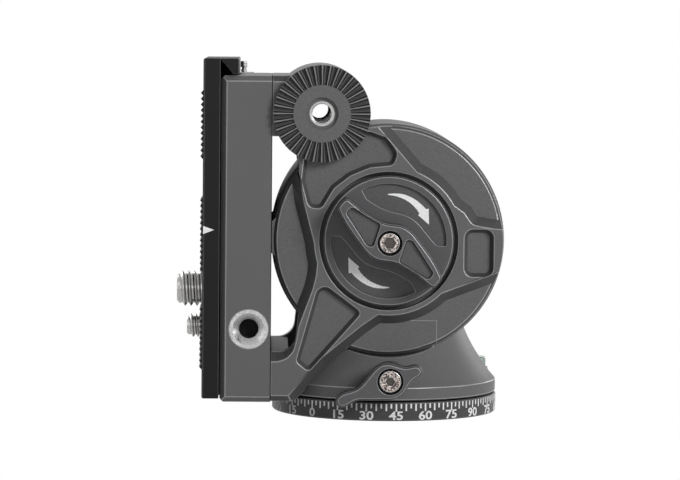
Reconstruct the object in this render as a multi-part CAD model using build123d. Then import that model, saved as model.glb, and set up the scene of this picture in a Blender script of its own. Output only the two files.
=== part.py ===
from build123d import *
import math
import os

os.makedirs("parts", exist_ok=True)

# Fluid video head, in millimetres. The origin is the centre of the tripod face under the base.
# +Z is up. The pose is the stored one: platform tipped forward by a right angle, so that the
# camera plate stands upright on the -X side. -Y is the side with the tilt knob.

# Overall places
base_radius = 30.0
tilt_height = 46.65
head_width = 50.0
side_face = head_width / 2
overrun = 1.0

# Clearances
running_gap = 0.05
slide_gap = 0.1
open_gap = 0.3
wide_gap = 0.6

# Tripod side: disc, degree ring, spindle
scale_ring_wall = 3.0
mount_disc_radius = base_radius - scale_ring_wall
mount_disc_height = 3.2
scale_ring_height = 4.9
edge_break = 0.3
tripod_thread_radius = 3.97
tripod_thread_length = 8.0
tripod_insert_radius = 7.0
spindle_radius = 8.0
spindle_flange_radius = 13.0
spindle_flange_height = 2.0
spindle_thread_radius = 7.4
spindle_thread_length = 4.6
spindle_bore_radius = 5.0
spindle_screw_circle = 10.4
spindle_screw_count = 4
small_screw_radius = 1.5
small_head_radius = 2.6
small_head_height = 1.6
socket_share = 0.8
socket_depth_share = 0.6
head_break_share = 0.17
screw_reach_share = 0.8
screw_turn = 45
damper_inner_radius = 17.0
damper_outer_radius = 18.5
damper_top = 6.6
pan_nut_radius = 11.0
pan_nut_height = 3.5
nut_headroom = 1.45
wave_washer_thickness = 0.5
thrust_washer_inner_radius = 20.0
thrust_washer_thickness = 0.7

# Pan body: flange, cone, drum housing
skirt_radius = 26.6
skirt_height = 4.0
flange_step = 0.15
flange_radius = base_radius - flange_step
flange_base = 5.3
flange_top = 8.6
shoulder_radius = 28.4
shoulder_height = 10.2
waist_radius = 25.6
waist_height = 14.2
neck_radius = 20.0
neck_height = 26.0
drum_radius = 30.6
drum_half_width = 19.3
drum_edge = 0.9
drum_groove_depth = 0.4
drum_groove_width = 0.7
drum_groove_place = 16.2
cartridge_radius = 26.0
nut_chamber_radius = 12.5
spindle_shelf = (tilt_height - cartridge_radius - nut_headroom - pan_nut_height
                 - wave_washer_thickness - slide_gap * 2)
spindle_top = spindle_shelf + spindle_thread_length

# Pan lock
pan_lock_x = 0.4
pan_lock_height = 10.95
pan_stud_radius = 2.5
pan_stud_end = 30.5
shoe_radius = 2.4
shoe_length = 4.0
lever_hub_radius = 4.6
lever_spot_depth = 27.2
lever_inner_face = 31.5
lever_outer_face = 36.0
lever_size = 14.0
lever_round = 0.5
lock_screw_head_radius = 3.1
lock_screw_head_height = 2.2
lock_screw_sink = 0.4
lock_screw_shank_radius = 1.5
lock_screw_length = 8.0
screw_recess_gap = 0.3
socket_radius = 1.4
socket_depth = 1.2
lever_outline_shares = [
    (-0.99, -0.32), (-0.93, -0.25), (-0.66, -0.15), (-0.44, 0.05), (-0.27, 0.25), (-0.14, 0.33),
    (0.0, 0.335), (0.15, 0.295), (0.30, 0.27), (0.46, 0.30), (0.56, 0.26), (0.585, 0.17),
    (0.53, 0.10), (0.41, 0.01), (0.34, -0.09), (0.27, -0.20), (0.17, -0.29), (0.05, -0.335),
    (-0.16, -0.345), (-0.43, -0.35), (-0.60, -0.355), (-0.71, -0.40), (-0.82, -0.465),
    (-0.92, -0.475), (-0.98, -0.43)]

# Bubble level on the rear shoulder
level_x = 23.9
level_y = 8.0
level_radius = 4.5
level_base = 8.9
level_top = 13.5
level_cup_top = 10.6
level_cup_wall = 0.5

# Tilt cartridge inside the drum
carrier_inner = 11.5
flange_recess = 17.3
flange_recess_radius = 17.8
bearing_outer_radius = 10.5
bearing_width = 5.0
bearing_race = 1.3
bearing_ball_count = 10
axle_radius = 6.0
axle_flange_radius = 10.0
carrier_screw_circle = 21.8
carrier_screw_count = 4
cup_end = 11.3
cup_floor = 2.5
cup_wall = 2.0
cup_bore_radius = 9.0
lid_thickness = 2.5
rotor_hub_radius = 8.0
rotor_disc_thickness = 1.6
stator_ring_radii = [13.4, 19.0]
rotor_ring_radii = [16.2, 21.8]
ring_wall = 1.4
ring_end_gap = 1.2
seal_wall = 0.95
seal_width = 1.6

# Tilt brake
lining_inner_radius = 12.5
lining_thickness = 0.7
brake_ring_thickness = 0.8
brake_pin_radius = 1.2
brake_pin_circle = 15.0
brake_pin_count = 3
brake_pin_turn = 30
tilt_stud_radius = 4.0
tilt_stud_start = 8.0
tilt_stud_end = 30.8
hub_floor = 1.8
hub_bore_radius = 4.3
hub_screw_circle = 7.6
hub_screw_count = 4
hub_screw_radius = 1.25
hub_head_radius = 2.2
hub_head_height = 1.2

# Side plates of the platform
plate_inner_face = 19.6
web_thickness = 2.6
disc_radius = 30.0
disc_edge = 0.8
rib_draft = 2.4
rib_sink = 0.7
pocket_depth = 1.8
pocket_draft = 1.0
knob_opening_radius = 18.1
ring_radius = 19.4
clamp_back = -30.55
rosette_x = -17.7
rosette_z = 33.1
boss_radius = 12.7
root_top = 42.9
root_low = 27.1
tab_top = 4.7
tab_low = -3.6
tab_flare = 2.6
foot_top = -29.4
foot_low = -42.35
foot_edge = 1.6
foot_corner = 4.5
neck_outline_shares = [(-0.806, 0.80), (-0.775, 0.50), (-0.20, 0.90), (-0.169, 1.10)]
foot_right = -24.3
foot_left = -24.4
foot_outline_shares = [(-0.18, -0.77), (-0.45, -0.55), (-0.775, -0.60)]
left_rib_shares = [(-0.803, 0.80), (-0.783, 0.61), (-0.738, 0.327), (-0.687, 0.13), (-0.613, -0.147),
                   (-0.627, -0.307), (-0.653, -0.42), (-0.775, -0.75), (-0.795, -0.88), (-0.82, -0.97),
                   (-0.88, -1.035), (-0.96, -1.06), (-1.20, -1.06), (-1.20, -1.357), (-0.863, -1.357),
                   (-0.596, -1.041), (-0.226, -0.737), (0.0, -0.583), (0.0, -0.30), (-0.30, 0.10),
                   (-0.20, 0.62), (-0.30, 1.0)]
right_rib_shares = [(-0.17, 1.105), (-0.085, 0.972), (0.33, 0.495), (0.10, 0.40), (-0.30, 0.50),
                    (-0.55, 0.90)]
spoke_shares = [(0.45, 0.395), (0.655, 0.25), (0.725, 0.145), (0.905, 0.114), (1.10, 0.10), (1.10, -0.21),
                (0.57, -0.412), (0.333, -0.502), (0.30, 0.0)]
upper_pocket_shares = [(-0.74, 0.74), (-0.765, 0.52), (-0.70, 0.285), (-0.585, 0.275), (-0.48, 0.455),
                       (-0.34, 0.565), (-0.17, 0.637), (0.035, 0.658), (0.075, 0.765), (-0.02, 0.90),
                       (-0.16, 0.95), (-0.45, 1.0)]
upper_pocket_round_shares = [0, 0.06, 0.07, 0.07, 0.10, 0.15, 0.09, 0.06, 0.08, 0.08, 0.06, 0]
right_pocket_x = 19.7
right_pocket_length = 7.8
right_pocket_top = 3.3
right_pocket_height = 12.6
right_pocket_round = 2.4
low_pocket_shares = [(-0.60, -0.345), (-0.225, -0.625), (-0.685, -1.15), (-0.80, -1.06)]
low_pocket_round_shares = [0.085, 0.045, 0.05, 0.05]
relief_gap = 0.6

# Rosettes and inserts
rosette_radius = 12.65
rosette_height = 2.0
rosette_tooth_inner = 7.5
rosette_tooth_count = 36
rosette_tooth_depth = 0.9
rosette_tooth_width = 1.55
rosette_shallow_share = 0.6
rosette_spigot_radius = 6.0
rosette_spigot = 1.5
rosette_counterbore_radius = 4.2
rosette_counterbore = 0.9
handle_thread_radius = 2.5
handle_insert_radius = 3.25
bridge_screw_shares = [(-0.62, 0.38), (0.10, 0.72)]

# Bridge and crossbar between the side plates
crossbar_width = 4.8
crossbar_drop = 7.4

# Clamp, with heights counted from the tilt axis
clamp_front = -43.9
clamp_floor = -39.2
clamp_low = -42.55
clamp_high = 42.85
clamp_chamfer = 1.44
jaw_chamfer = 0.72
clamp_round = 1.3
body_far_side = 21.3
accessory_x = -36.35
accessory_z = -23.3
accessory_insert_radius = 5.1
accessory_thread_radius = 2.57
accessory_thread_length = 5.4
accessory_cone = 1.6
clamp_screw_radius = 2.0
clamp_screw_head_radius = 3.5
clamp_screw_head_height = 2.2
clamp_screw_sink = 2.8
clamp_screw_end = -26.6
clamp_screw_places = [-32.05, 30.35, 38.35]
clamp_screw_side = 9.0
jaw_leg_end = -31.2
guide_pin_radius = 1.5
guide_pin_x = -34.8
guide_pin_places = [-21.65, 16.35]
guide_pin_start = 6.0
guide_pin_end = 24.4
spring_radius = 2.2
spring_wire = 0.35
spring_pitch = 1.6
spring_pocket = 3.0
spring_length = 8.0
draw_bolt_radius = 2.0
draw_bolt_start = -12.0
lever_pivot_z = -6.65
lever_pin_radius = 1.25
tongue_width = 2.6
eye_thickness = 3.0
eye_radius = 2.5
cam_radius = 3.4
cam_throw = 1.4
lever_pivot_y = side_face + cam_radius + slide_gap
clamp_lever_x = -36.5
clamp_lever_width = 9.0
clamp_lever_length = 31.0
clamp_lever_tip = 3.2
clamp_lever_root = 1.7
clamp_lever_back = 1.0
lever_slot_reach = 6.8
lever_slot_top = 5.1

# Catch pin on the clamp's upper end
catch_x = -38.3
catch_y = 17.5
catch_head_radius = 0.95
catch_stem_radius = 0.65
catch_head_height = 1.7
catch_height = 3.3
catch_depth = 9.0
catch_base_thickness = 0.3
catch_base_end = -35.6
catch_base_half = 1.8
catch_bore_radius = 0.75
catch_collar_radius = 0.85
catch_collar_height = 0.6
catch_spring_wire = 0.175
catch_spring_radius = 0.54
catch_spring_pitch = 0.7
catch_spring_length = 2.45
catch_spring_room = 2.8

# Camera plate, with heights counted from the tilt axis
plate_face = -48.6
plate_flange_back = -44.15
plate_bottom = -39.35
plate_low = -41.65
plate_high = 47.2
dovetail_half = 19.0
dovetail_neck_half = 15.9
dovetail_land = 1.6
cutter_offset = 2.6
groove_reach = 46.95
jaw_relief = 3.2
plate_edge = 0.7
screw_pocket_half = 6.2
screw_pocket_face = -43.2
screw_pocket_low = -38.65
screw_pocket_high = 22.35
large_slot_low = -14.65
large_slot_high = 15.35
small_slot_low = -33.65
small_slot_high = -24.6
large_screw_radius = 4.76
large_screw_tip = -55.7
large_head_radius = 5.6
small_thread_radius = 3.175
small_screw_tip = -53.0
small_camera_head_radius = 4.2
camera_head_height = 3.0
camera_neck_step = 0.5
camera_socket_share = 0.55
slot_side_gap = 0.12
retainer_thickness = 0.45
retainer_wall = 0.9
pad_inner = 7.8
pad_outer = 24.4
pad_sink = 0.8
pad_pitch = 1.5
pad_tooth = 0.65
lower_pad_low = -34.05
lower_pad_teeth = 11
middle_pad_low = -8.55
middle_pad_teeth = 13
upper_pad_low = 20.95
upper_pad_teeth = 12
pad_rows = [(lower_pad_low, lower_pad_teeth), (middle_pad_low, middle_pad_teeth),
            (upper_pad_low, upper_pad_teeth)]

# Tilt knob
knob_radius = 17.1
knob_under = 21.7
knob_face = 25.2
knob_edge = 0.45
handle_face = 34.0
handle_edge = 0.5
knob_recess_depth = 0.9
knob_recess_round = 1.1
handle_pocket_depth = 1.0
handle_pocket_draft = 0.35
knob_screw_head_radius = 2.9
knob_screw_recess_radius = 3.25
knob_screw_seat = 31.1
knob_screw_face = 33.2
knob_screw_shank_radius = 2.0
knob_screw_end = 24.0
handle_edge_shares = [(-0.667, 0.69), (-0.468, 0.532), (-0.24, 0.374), (0.0, 0.287), (0.175, 0.263),
                      (0.304, 0.193), (0.468, 0.006), (0.65, -0.246), (0.80, -0.538)]
handle_pocket_shares = [(-0.672, 0.45), (-0.59, 0.555), (-0.135, 0.287), (-0.25, -0.064), (-0.35, -0.041)]
handle_pocket_round_shares = [0.053, 0.06, 0.05, 0.05, 0.07]
recess_outer_share = 0.877
recess_inner_shares = [(0.735, -0.06), (0.532, 0.17), (0.368, 0.333), (0.19, 0.412), (0.026, 0.45),
                       (-0.193, 0.544), (-0.345, 0.64)]

# Far side hub cap
cap_face = 24.6
cap_dish = 0.8
cap_dish_radius = 14.0


def cylinder_z(x, y, radius, low, high):
    """Round bar along Z."""
    return Pos(x, y, (low + high) / 2) * Cylinder(radius, high - low)


def cylinder_y(x, z, radius, start, end):
    """Round bar along Y."""
    return Pos(x, (start + end) / 2, z) * Rot(90, 0, 0) * Cylinder(radius, end - start)


def cylinder_x(y, z, radius, start, end):
    """Round bar along X."""
    return Pos((start + end) / 2, y, z) * Rot(0, 90, 0) * Cylinder(radius, end - start)


def block(x_range, y_range, z_range):
    """Box between three pairs of planes."""
    lengths = [span[1] - span[0] for span in (x_range, y_range, z_range)]
    middle = [(span[0] + span[1]) / 2 for span in (x_range, y_range, z_range)]
    return Pos(*middle) * Box(*lengths)


def scaled(shares, size):
    """Outline points from their shares of one size."""
    return [(x * size, y * size) for x, y in shares]


def runs_left(points):
    """True for an outline drawn counter-clockwise."""
    following = points[1:] + points[:1]
    return sum(a[0] * b[1] - b[0] * a[1] for a, b in zip(points, following)) > 0


def polygon(points):
    """Flat face inside straight edges."""
    ordered = points if runs_left(points) else points[::-1]
    return make_face(Polyline(*ordered, close=True)).face()


def rounded_polygon(points, radii):
    """Flat face whose corners are rounded one by one."""
    if not runs_left(points):
        points = points[::-1]
        radii = radii[::-1]
    return make_face(FilletPolyline(*points, radius=radii, close=True)).face()


def prism(face, low, high):
    """Straight extrusion of a flat face between two heights."""
    return Pos(0, 0, low) * extrude(face, high - low)


def tapered(face, low, height, draft):
    """Extrusion that narrows upwards by the draft on every side."""
    angle = math.degrees(math.atan2(draft, height))
    return Pos(0, 0, low) * extrude(face, height, taper=angle)


def sunk(face, top, depth, draft):
    """Pocket cutter that is widest at the top face."""
    cutter = mirror(tapered(face, 0, depth, draft), about=Plane.XY)
    lid = prism(face, 0, overrun)
    return Pos(0, 0, top) * (cutter + lid)


def near(shape):
    """Side-on drawing (x, height from the tilt axis, distance outwards) put on the knob side."""
    return Pos(0, 0, tilt_height) * Rot(90, 0, 0) * shape


def far(shape):
    """The same drawing put on the other side of the head."""
    return mirror(near(shape), about=Plane.XZ)


def raised(shape):
    """A platform piece whose heights count from the tilt axis, lifted into place."""
    return Pos(0, 0, tilt_height) * shape


def around(shape, count, first=0):
    """Copies of a shape turned round Z."""
    return [Rot(0, 0, first + 360 * turn / count) * shape for turn in range(count)]


def joined(shapes):
    """Separate solids in one compound."""
    solids = [solid for shape in shapes for solid in shape.solids()]
    return Compound(children=solids)


def socket(radius, depth, top):
    """Hexagon socket cutter below a top face."""
    return Pos(0, 0, top - depth) * extrude(RegularPolygon(radius, 6), depth + overrun)


def ring(outer, inner, low, high):
    """Flat ring about Z."""
    return cylinder_z(0, 0, outer, low, high) - cylinder_z(0, 0, inner, low - overrun, high + overrun)


def screw(head_radius, head_low, head_high, shank_radius, shank_low):
    """Socket head screw along +Z."""
    body = cylinder_z(0, 0, head_radius, head_low, head_high)
    top = body.edges().group_by(Axis.Z)[-1]
    body = chamfer(top, (head_high - head_low) * head_break_share)
    body += cylinder_z(0, 0, shank_radius, shank_low, head_low)
    return body - socket(shank_radius * socket_share, (head_high - head_low) * socket_depth_share, head_high)


def spring(radius, wire, pitch, length):
    """Open coil spring along +Z."""
    path = Helix(pitch=pitch, height=length - 2 * wire, radius=radius)
    section = Plane(origin=path @ 0, z_dir=path % 0) * Circle(wire)
    return Pos(0, 0, wire) * sweep(section, path=path, is_frenet=True)


# Tripod side

def mount_disc():
    disc = cylinder_z(0, 0, mount_disc_radius, 0, mount_disc_height)
    disc -= cylinder_z(0, 0, tripod_insert_radius, -overrun, mount_disc_height + overrun)
    for hole in around(Pos(spindle_screw_circle, 0, 0) * spindle_screw(), spindle_screw_count):
        disc -= hole
    return disc


def spindle_screw():
    head = cylinder_z(0, 0, small_head_radius, 0, small_head_height)
    shank_top = mount_disc_height + spindle_flange_height * screw_reach_share
    return head + cylinder_z(0, 0, small_screw_radius, small_head_height, shank_top)


def spindle_screws():
    hole_top = small_head_height * socket_depth_share
    one = spindle_screw() - cylinder_z(0, 0, socket_radius * socket_share, -overrun, hole_top)
    return joined(around(Pos(spindle_screw_circle, 0, 0) * one, spindle_screw_count))


def tripod_insert():
    insert = cylinder_z(0, 0, tripod_insert_radius, 0, tripod_thread_length)
    return insert - cylinder_z(0, 0, tripod_thread_radius, -overrun, tripod_thread_length + overrun)


def scale_ring():
    band = cylinder_z(0, 0, base_radius, 0, scale_ring_height)
    band = chamfer(band.edges(), edge_break)
    return band - cylinder_z(0, 0, mount_disc_radius, -overrun, scale_ring_height + overrun)


def pan_spindle():
    flange_high = mount_disc_height + spindle_flange_height
    spindle = cylinder_z(0, 0, spindle_flange_radius, mount_disc_height, flange_high)
    spindle += cylinder_z(0, 0, spindle_radius, flange_high, spindle_shelf)
    spindle += cylinder_z(0, 0, spindle_thread_radius, spindle_shelf, spindle_top)
    spindle -= cylinder_z(0, 0, tripod_insert_radius, 0, tripod_thread_length)
    spindle -= cylinder_z(0, 0, spindle_bore_radius, 0, spindle_top + overrun)
    for hole in around(Pos(spindle_screw_circle, 0, 0) * spindle_screw(), spindle_screw_count):
        spindle -= hole
    return spindle


def pan_damper_ring():
    return ring(damper_outer_radius, damper_inner_radius, mount_disc_height, damper_top)


def pan_nut():
    low = spindle_shelf + wave_washer_thickness + slide_gap * 2
    nut = ring(pan_nut_radius, spindle_thread_radius, low, low + pan_nut_height)
    notch = Box(small_head_radius, small_head_radius, pan_nut_height)
    placed = Pos(pan_nut_radius, 0, low + pan_nut_height) * notch
    for cut in around(placed, spindle_screw_count):
        nut -= cut
    return nut


# Pan body

def body_outline():
    """Half section of flange, cone and neck."""
    low = Polyline(
        (0, skirt_height), (skirt_radius, skirt_height), (skirt_radius, flange_base),
        (flange_radius - edge_break, flange_base), (flange_radius, flange_base + edge_break),
        (flange_radius, flange_top), (shoulder_radius, shoulder_height), (waist_radius, waist_height))
    slope = (waist_radius - shoulder_radius, waist_height - shoulder_height)
    flare = TangentArc((waist_radius, waist_height), (neck_radius, neck_height), tangent=slope)
    lid = Polyline((neck_radius, neck_height), (0, neck_height), (0, skirt_height))
    return make_face([*low.edges(), *flare.edges(), *lid.edges()])


def base_clearance(gap):
    """Space of the base and cone, grown by a gap, that the platform keeps out of."""
    grown = Polyline(
        (0, -overrun), (base_radius + gap, -overrun), (base_radius + gap, flange_top),
        (shoulder_radius + gap, shoulder_height + gap), (waist_radius + gap, waist_height + gap),
        (neck_radius + gap, neck_height), (0, neck_height), (0, -overrun))
    return revolve(Plane.XZ * make_face(grown), Axis.Z)


def drum():
    body = cylinder_y(0, tilt_height, drum_radius, -drum_half_width, drum_half_width)
    body = chamfer(body.edges().filter_by(GeomType.CIRCLE), drum_edge)
    for side in (-1, 1):
        middle = side * drum_groove_place
        half = drum_groove_width / 2
        groove = cylinder_y(0, tilt_height, drum_radius + overrun, middle - half, middle + half)
        groove -= cylinder_y(0, tilt_height, drum_radius - drum_groove_depth, -side_face, side_face)
        body -= groove
    return body


def main_body():
    body = revolve(Plane.XZ * body_outline(), Axis.Z)
    reach = lever_outer_face + overrun
    for side in (-1, 1):
        ends = sorted((side * drum_half_width, side * reach))
        body -= cylinder_y(0, tilt_height, disc_radius + wide_gap, *ends)
    body += drum()
    body -= cylinder_y(0, tilt_height, cartridge_radius, -side_face, cup_end)
    body -= cylinder_y(0, tilt_height, bearing_outer_radius, 0, flange_recess)
    body -= cylinder_y(0, tilt_height, flange_recess_radius, flange_recess, side_face)
    body -= cylinder_z(0, 0, nut_chamber_radius, spindle_shelf, tilt_height)
    body -= cylinder_z(0, 0, spindle_radius + running_gap, 0, spindle_shelf + overrun)
    flange_room = mount_disc_height + spindle_flange_height + open_gap
    body -= cylinder_z(0, 0, spindle_flange_radius + open_gap, 0, flange_room)
    body -= ring(damper_outer_radius + open_gap, damper_inner_radius - open_gap, 0, damper_top + open_gap)
    spot = lever_hub_radius + open_gap
    body -= cylinder_y(pan_lock_x, pan_lock_height, spot, -head_width, -lever_spot_depth)
    body -= cylinder_y(pan_lock_x, pan_lock_height, pan_stud_radius + running_gap, -head_width, 0)
    body -= cylinder_z(level_x, level_y, level_radius, level_base, level_top + overrun)
    for hole in carrier_screw_shapes():
        body -= hole
    return body


def pan_thrust_washer():
    low = skirt_height - thrust_washer_thickness
    return ring(skirt_radius - open_gap, thrust_washer_inner_radius, low, skirt_height)


def pan_wave_washer():
    low = spindle_shelf + slide_gap
    return ring(pan_nut_radius, spindle_radius + slide_gap, low, low + wave_washer_thickness)


def lever_frame(shape):
    """Pan lock drawing (x, z, distance outwards) put in front of the base."""
    return Pos(pan_lock_x, 0, pan_lock_height) * Rot(90, 0, 0) * shape


def pan_brake_shoe():
    start = spindle_radius + open_gap
    shoe = cylinder_z(0, 0, shoe_radius, start - overrun, start + shoe_length)
    placed = lever_frame(shoe) - cylinder_z(0, 0, nut_chamber_radius, spindle_shelf, tilt_height)
    return placed - cylinder_z(0, 0, spindle_radius + running_gap, 0, spindle_top)


def pan_lock_stud():
    start = spindle_radius + open_gap + shoe_length + slide_gap
    stud = cylinder_z(0, 0, pan_stud_radius, start, pan_stud_end)
    seat = lever_outer_face - lock_screw_sink - lock_screw_head_height
    stud -= cylinder_z(0, 0, lock_screw_shank_radius, seat - lock_screw_length, pan_stud_end + overrun)
    return lever_frame(stud)


def pan_lock_lever():
    outline = Spline(*scaled(lever_outline_shares, lever_size), periodic=True)
    lever = prism(make_face(outline), lever_inner_face, lever_outer_face)
    lever = chamfer(lever.edges().group_by(Axis.Z)[-1], lever_round)
    lever += cylinder_z(0, 0, lever_hub_radius, lever_spot_depth + open_gap, lever_inner_face + edge_break)
    lever -= cylinder_z(0, 0, pan_stud_radius, 0, pan_stud_end)
    seat = lever_outer_face - lock_screw_sink - lock_screw_head_height
    lever -= cylinder_z(0, 0, lock_screw_head_radius + screw_recess_gap, seat, lever_outer_face + overrun)
    lever -= cylinder_z(0, 0, lock_screw_shank_radius, 0, lever_outer_face)
    return lever_frame(lever)


def pan_lock_screw():
    top = lever_outer_face - lock_screw_sink
    seat = top - lock_screw_head_height
    end = seat - lock_screw_length
    return lever_frame(screw(lock_screw_head_radius, seat, top, lock_screw_shank_radius, end))


def level_cup():
    cup = cylinder_z(0, 0, level_radius, level_base, level_cup_top)
    floor = level_base + level_cup_wall
    cup -= cylinder_z(0, 0, level_radius - level_cup_wall, floor, level_top)
    return Pos(level_x, level_y, 0) * cup


def level_vial():
    inside = level_radius - level_cup_wall
    vial = cylinder_z(0, 0, inside, level_base + level_cup_wall, level_top)
    vial = fillet(vial.edges().group_by(Axis.Z)[-1], level_cup_wall)
    return Pos(level_x, level_y, 0) * vial


# Tilt cartridge, drawn with local Z outwards on the knob side

def bearing_carrier():
    carrier = cylinder_z(0, 0, cartridge_radius, carrier_inner, drum_half_width)
    carrier -= cylinder_z(0, 0, flange_recess_radius, flange_recess, side_face)
    carrier -= cylinder_z(0, 0, bearing_outer_radius, flange_recess - bearing_width, side_face)
    carrier -= cylinder_z(0, 0, cup_bore_radius, 0, side_face)
    placed = near(carrier)
    for hole in carrier_screw_shapes():
        placed -= hole
    return placed


def carrier_screw_shape():
    seat = drum_half_width - small_head_height
    head = cylinder_z(0, 0, hub_head_radius, seat, drum_half_width)
    return head + cylinder_z(0, 0, hub_screw_radius, carrier_inner + edge_break, seat)


def carrier_screw_shapes():
    shape = Pos(carrier_screw_circle, 0, 0) * carrier_screw_shape()
    return [near(copy) for copy in around(shape, carrier_screw_count, screw_turn)]


def carrier_screws():
    depth = small_head_height * socket_depth_share
    one = carrier_screw_shape() - socket(socket_radius * socket_share, depth, drum_half_width)
    shape = Pos(carrier_screw_circle, 0, 0) * one
    return joined([near(copy) for copy in around(shape, carrier_screw_count, screw_turn)])


def ball_bearing():
    """Two races and their balls, standing on the bearing seat."""
    low = flange_recess - bearing_width
    outer = ring(bearing_outer_radius, bearing_outer_radius - bearing_race, low, flange_recess)
    bore = axle_radius + running_gap
    inner = ring(bore + bearing_race, bore, low, flange_recess)
    middle_radius = (bearing_outer_radius + bore) / 2
    ball_radius = (bearing_outer_radius - bore) / 2 - bearing_race + edge_break
    middle = flange_recess - bearing_width / 2
    ball = Pos(middle_radius, 0, middle) * Sphere(ball_radius)
    track = Pos(0, 0, middle) * Torus(middle_radius, ball_radius + running_gap)
    return [outer - track, inner - track, *around(ball, bearing_ball_count)]


def tilt_bearings():
    pieces = ball_bearing()
    return joined([near(piece) for piece in pieces] + [far(piece) for piece in pieces])


def fluid_cup():
    cup = cylinder_z(0, 0, cartridge_radius, -cup_end, cup_end - lid_thickness)
    floor_top = cup_floor - cup_end
    cup -= cylinder_z(0, 0, cartridge_radius - cup_wall, floor_top, cup_end)
    cup -= cylinder_z(0, 0, cup_bore_radius, -side_face, side_face)
    ring_top = cup_end - lid_thickness - rotor_disc_thickness - ring_end_gap * 2
    for radius in stator_ring_radii:
        cup += ring(radius + ring_wall, radius, floor_top, ring_top)
    return near(cup)


def cup_lid():
    lid = cylinder_z(0, 0, cartridge_radius, cup_end - lid_thickness, cup_end)
    lid -= cylinder_z(0, 0, cup_bore_radius, -side_face, side_face)
    return near(lid)


def fluid_rotor():
    top = cup_end - lid_thickness - ring_end_gap / 2
    under = top - rotor_disc_thickness
    floor_top = cup_floor - cup_end
    widest = rotor_ring_radii[-1] + ring_wall
    rotor = cylinder_z(0, 0, widest, under, top)
    for radius in rotor_ring_radii:
        rotor += ring(radius + ring_wall, radius, floor_top + ring_end_gap, under)
    rotor += cylinder_z(0, 0, rotor_hub_radius, -cup_end, cup_end)
    rotor -= cylinder_z(0, 0, axle_radius, -side_face, side_face)
    return near(rotor)


def cartridge_seals():
    seal = ring(rotor_hub_radius + seal_wall, rotor_hub_radius + running_gap, 0, seal_width)
    upper = Pos(0, 0, cup_end - seal_width) * seal
    lower = Pos(0, 0, -cup_end) * seal
    return joined([near(upper), near(lower)])


def brake_lining():
    outer = flange_recess_radius - open_gap
    lining = ring(outer, lining_inner_radius, flange_recess, flange_recess + lining_thickness)
    return near(lining)


def brake_ring():
    low = flange_recess + lining_thickness + slide_gap
    return near(ring(flange_recess_radius - open_gap, lining_inner_radius, low, low + brake_ring_thickness))


def brake_pin(gap):
    low = flange_recess + lining_thickness + slide_gap + brake_ring_thickness
    high = knob_under - slide_gap
    return Pos(brake_pin_circle, 0, 0) * cylinder_z(0, 0, brake_pin_radius + gap, low, high)


def brake_pins():
    return joined([near(copy) for copy in around(brake_pin(0), brake_pin_count, brake_pin_turn)])


def tilt_axle():
    flange_low = flange_recess + slide_gap
    axle = cylinder_z(0, 0, axle_radius, -flange_recess, flange_low)
    axle += cylinder_z(0, 0, axle_flange_radius, flange_low, plate_inner_face)
    axle -= cylinder_z(0, 0, tilt_stud_radius + running_gap, tilt_stud_start - overrun, side_face)
    placed = near(axle)
    for hole in hub_screw_shapes(near):
        placed -= hole
    return placed


def far_axle_flange():
    flange_low = flange_recess + slide_gap
    flange = cylinder_z(0, 0, axle_flange_radius, flange_low, plate_inner_face)
    flange += cylinder_z(0, 0, axle_radius, flange_recess, flange_low)
    placed = far(flange)
    for hole in hub_screw_shapes(far):
        placed -= hole
    return placed


def hub_screw_shape():
    top = plate_inner_face + hub_floor
    seat = top - hub_head_height
    head = Cone(hub_screw_radius, hub_head_radius, hub_head_height)
    return (Pos(hub_screw_circle, 0, seat + hub_head_height / 2) * head
            + cylinder_z(hub_screw_circle, 0, hub_screw_radius, flange_recess + open_gap, seat))


def hub_screw_shapes(side):
    return [side(copy) for copy in around(hub_screw_shape(), hub_screw_count, screw_turn)]


def hub_screws():
    top = plate_inner_face + hub_floor
    depth = hub_head_height * socket_depth_share
    cut = Pos(hub_screw_circle, 0, 0) * socket(hub_screw_radius * socket_share, depth, top)
    one = hub_screw_shape() - cut
    copies = around(one, hub_screw_count, screw_turn)
    return joined([near(copy) for copy in copies] + [far(copy) for copy in copies])


# Platform side plates, drawn with local Z outwards

def root_block():
    middle = (clamp_back + rosette_x) / 2
    return Pos(middle, (root_top + root_low) / 2) * Rectangle(rosette_x - clamp_back, root_top - root_low)


def tab_face():
    inner = clamp_back + tab_flare
    flare_top = tab_top + tab_flare
    flare_low = tab_low - tab_flare
    return polygon([
        (clamp_back, tab_top), (inner, flare_top), (0, 0), (inner, flare_low), (clamp_back, tab_low)])


def foot_face():
    inner = scaled(foot_outline_shares, disc_radius)
    corners = [
        (clamp_back, foot_top), (clamp_back, foot_low), (foot_right, foot_low), *inner,
        (foot_left, foot_top)]
    return rounded_polygon(corners, [0, 0, foot_edge, 0, 0, 0, foot_corner])


def silhouette():
    """Outline of one side plate without the round boss of the rosette."""
    face = Circle(disc_radius) + root_block()
    face += polygon(scaled(neck_outline_shares, disc_radius))
    face += tab_face()
    return face + foot_face()


def rib(face):
    """Raised rib with sloping walls, sunk into the web; the face is its outline at the outer level."""
    low = plate_inner_face + web_thickness - rib_sink
    spread = rib_draft * (side_face - low) / (side_face - low - rib_sink)
    grown = offset(face, amount=spread, kind=Kind.INTERSECTION)
    return tapered(grown.face(), low, side_face - low, spread)


def root_rib():
    top = root_top - foot_edge
    left = clamp_back - rib_draft * 2
    return polygon([(left, top), (left, root_low), (rosette_x, root_low), (rosette_x, top)])


def plate_ribs():
    ribs = rib(Circle(ring_radius).face())
    for shares in (left_rib_shares, right_rib_shares, spoke_shares):
        ribs += rib(polygon(scaled(shares, disc_radius)))
    return ribs + rib(root_rib())


def right_pocket():
    centre = (right_pocket_x + right_pocket_length / 2, right_pocket_top - right_pocket_height / 2)
    return Pos(*centre) * RectangleRounded(right_pocket_length, right_pocket_height, right_pocket_round)


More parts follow.
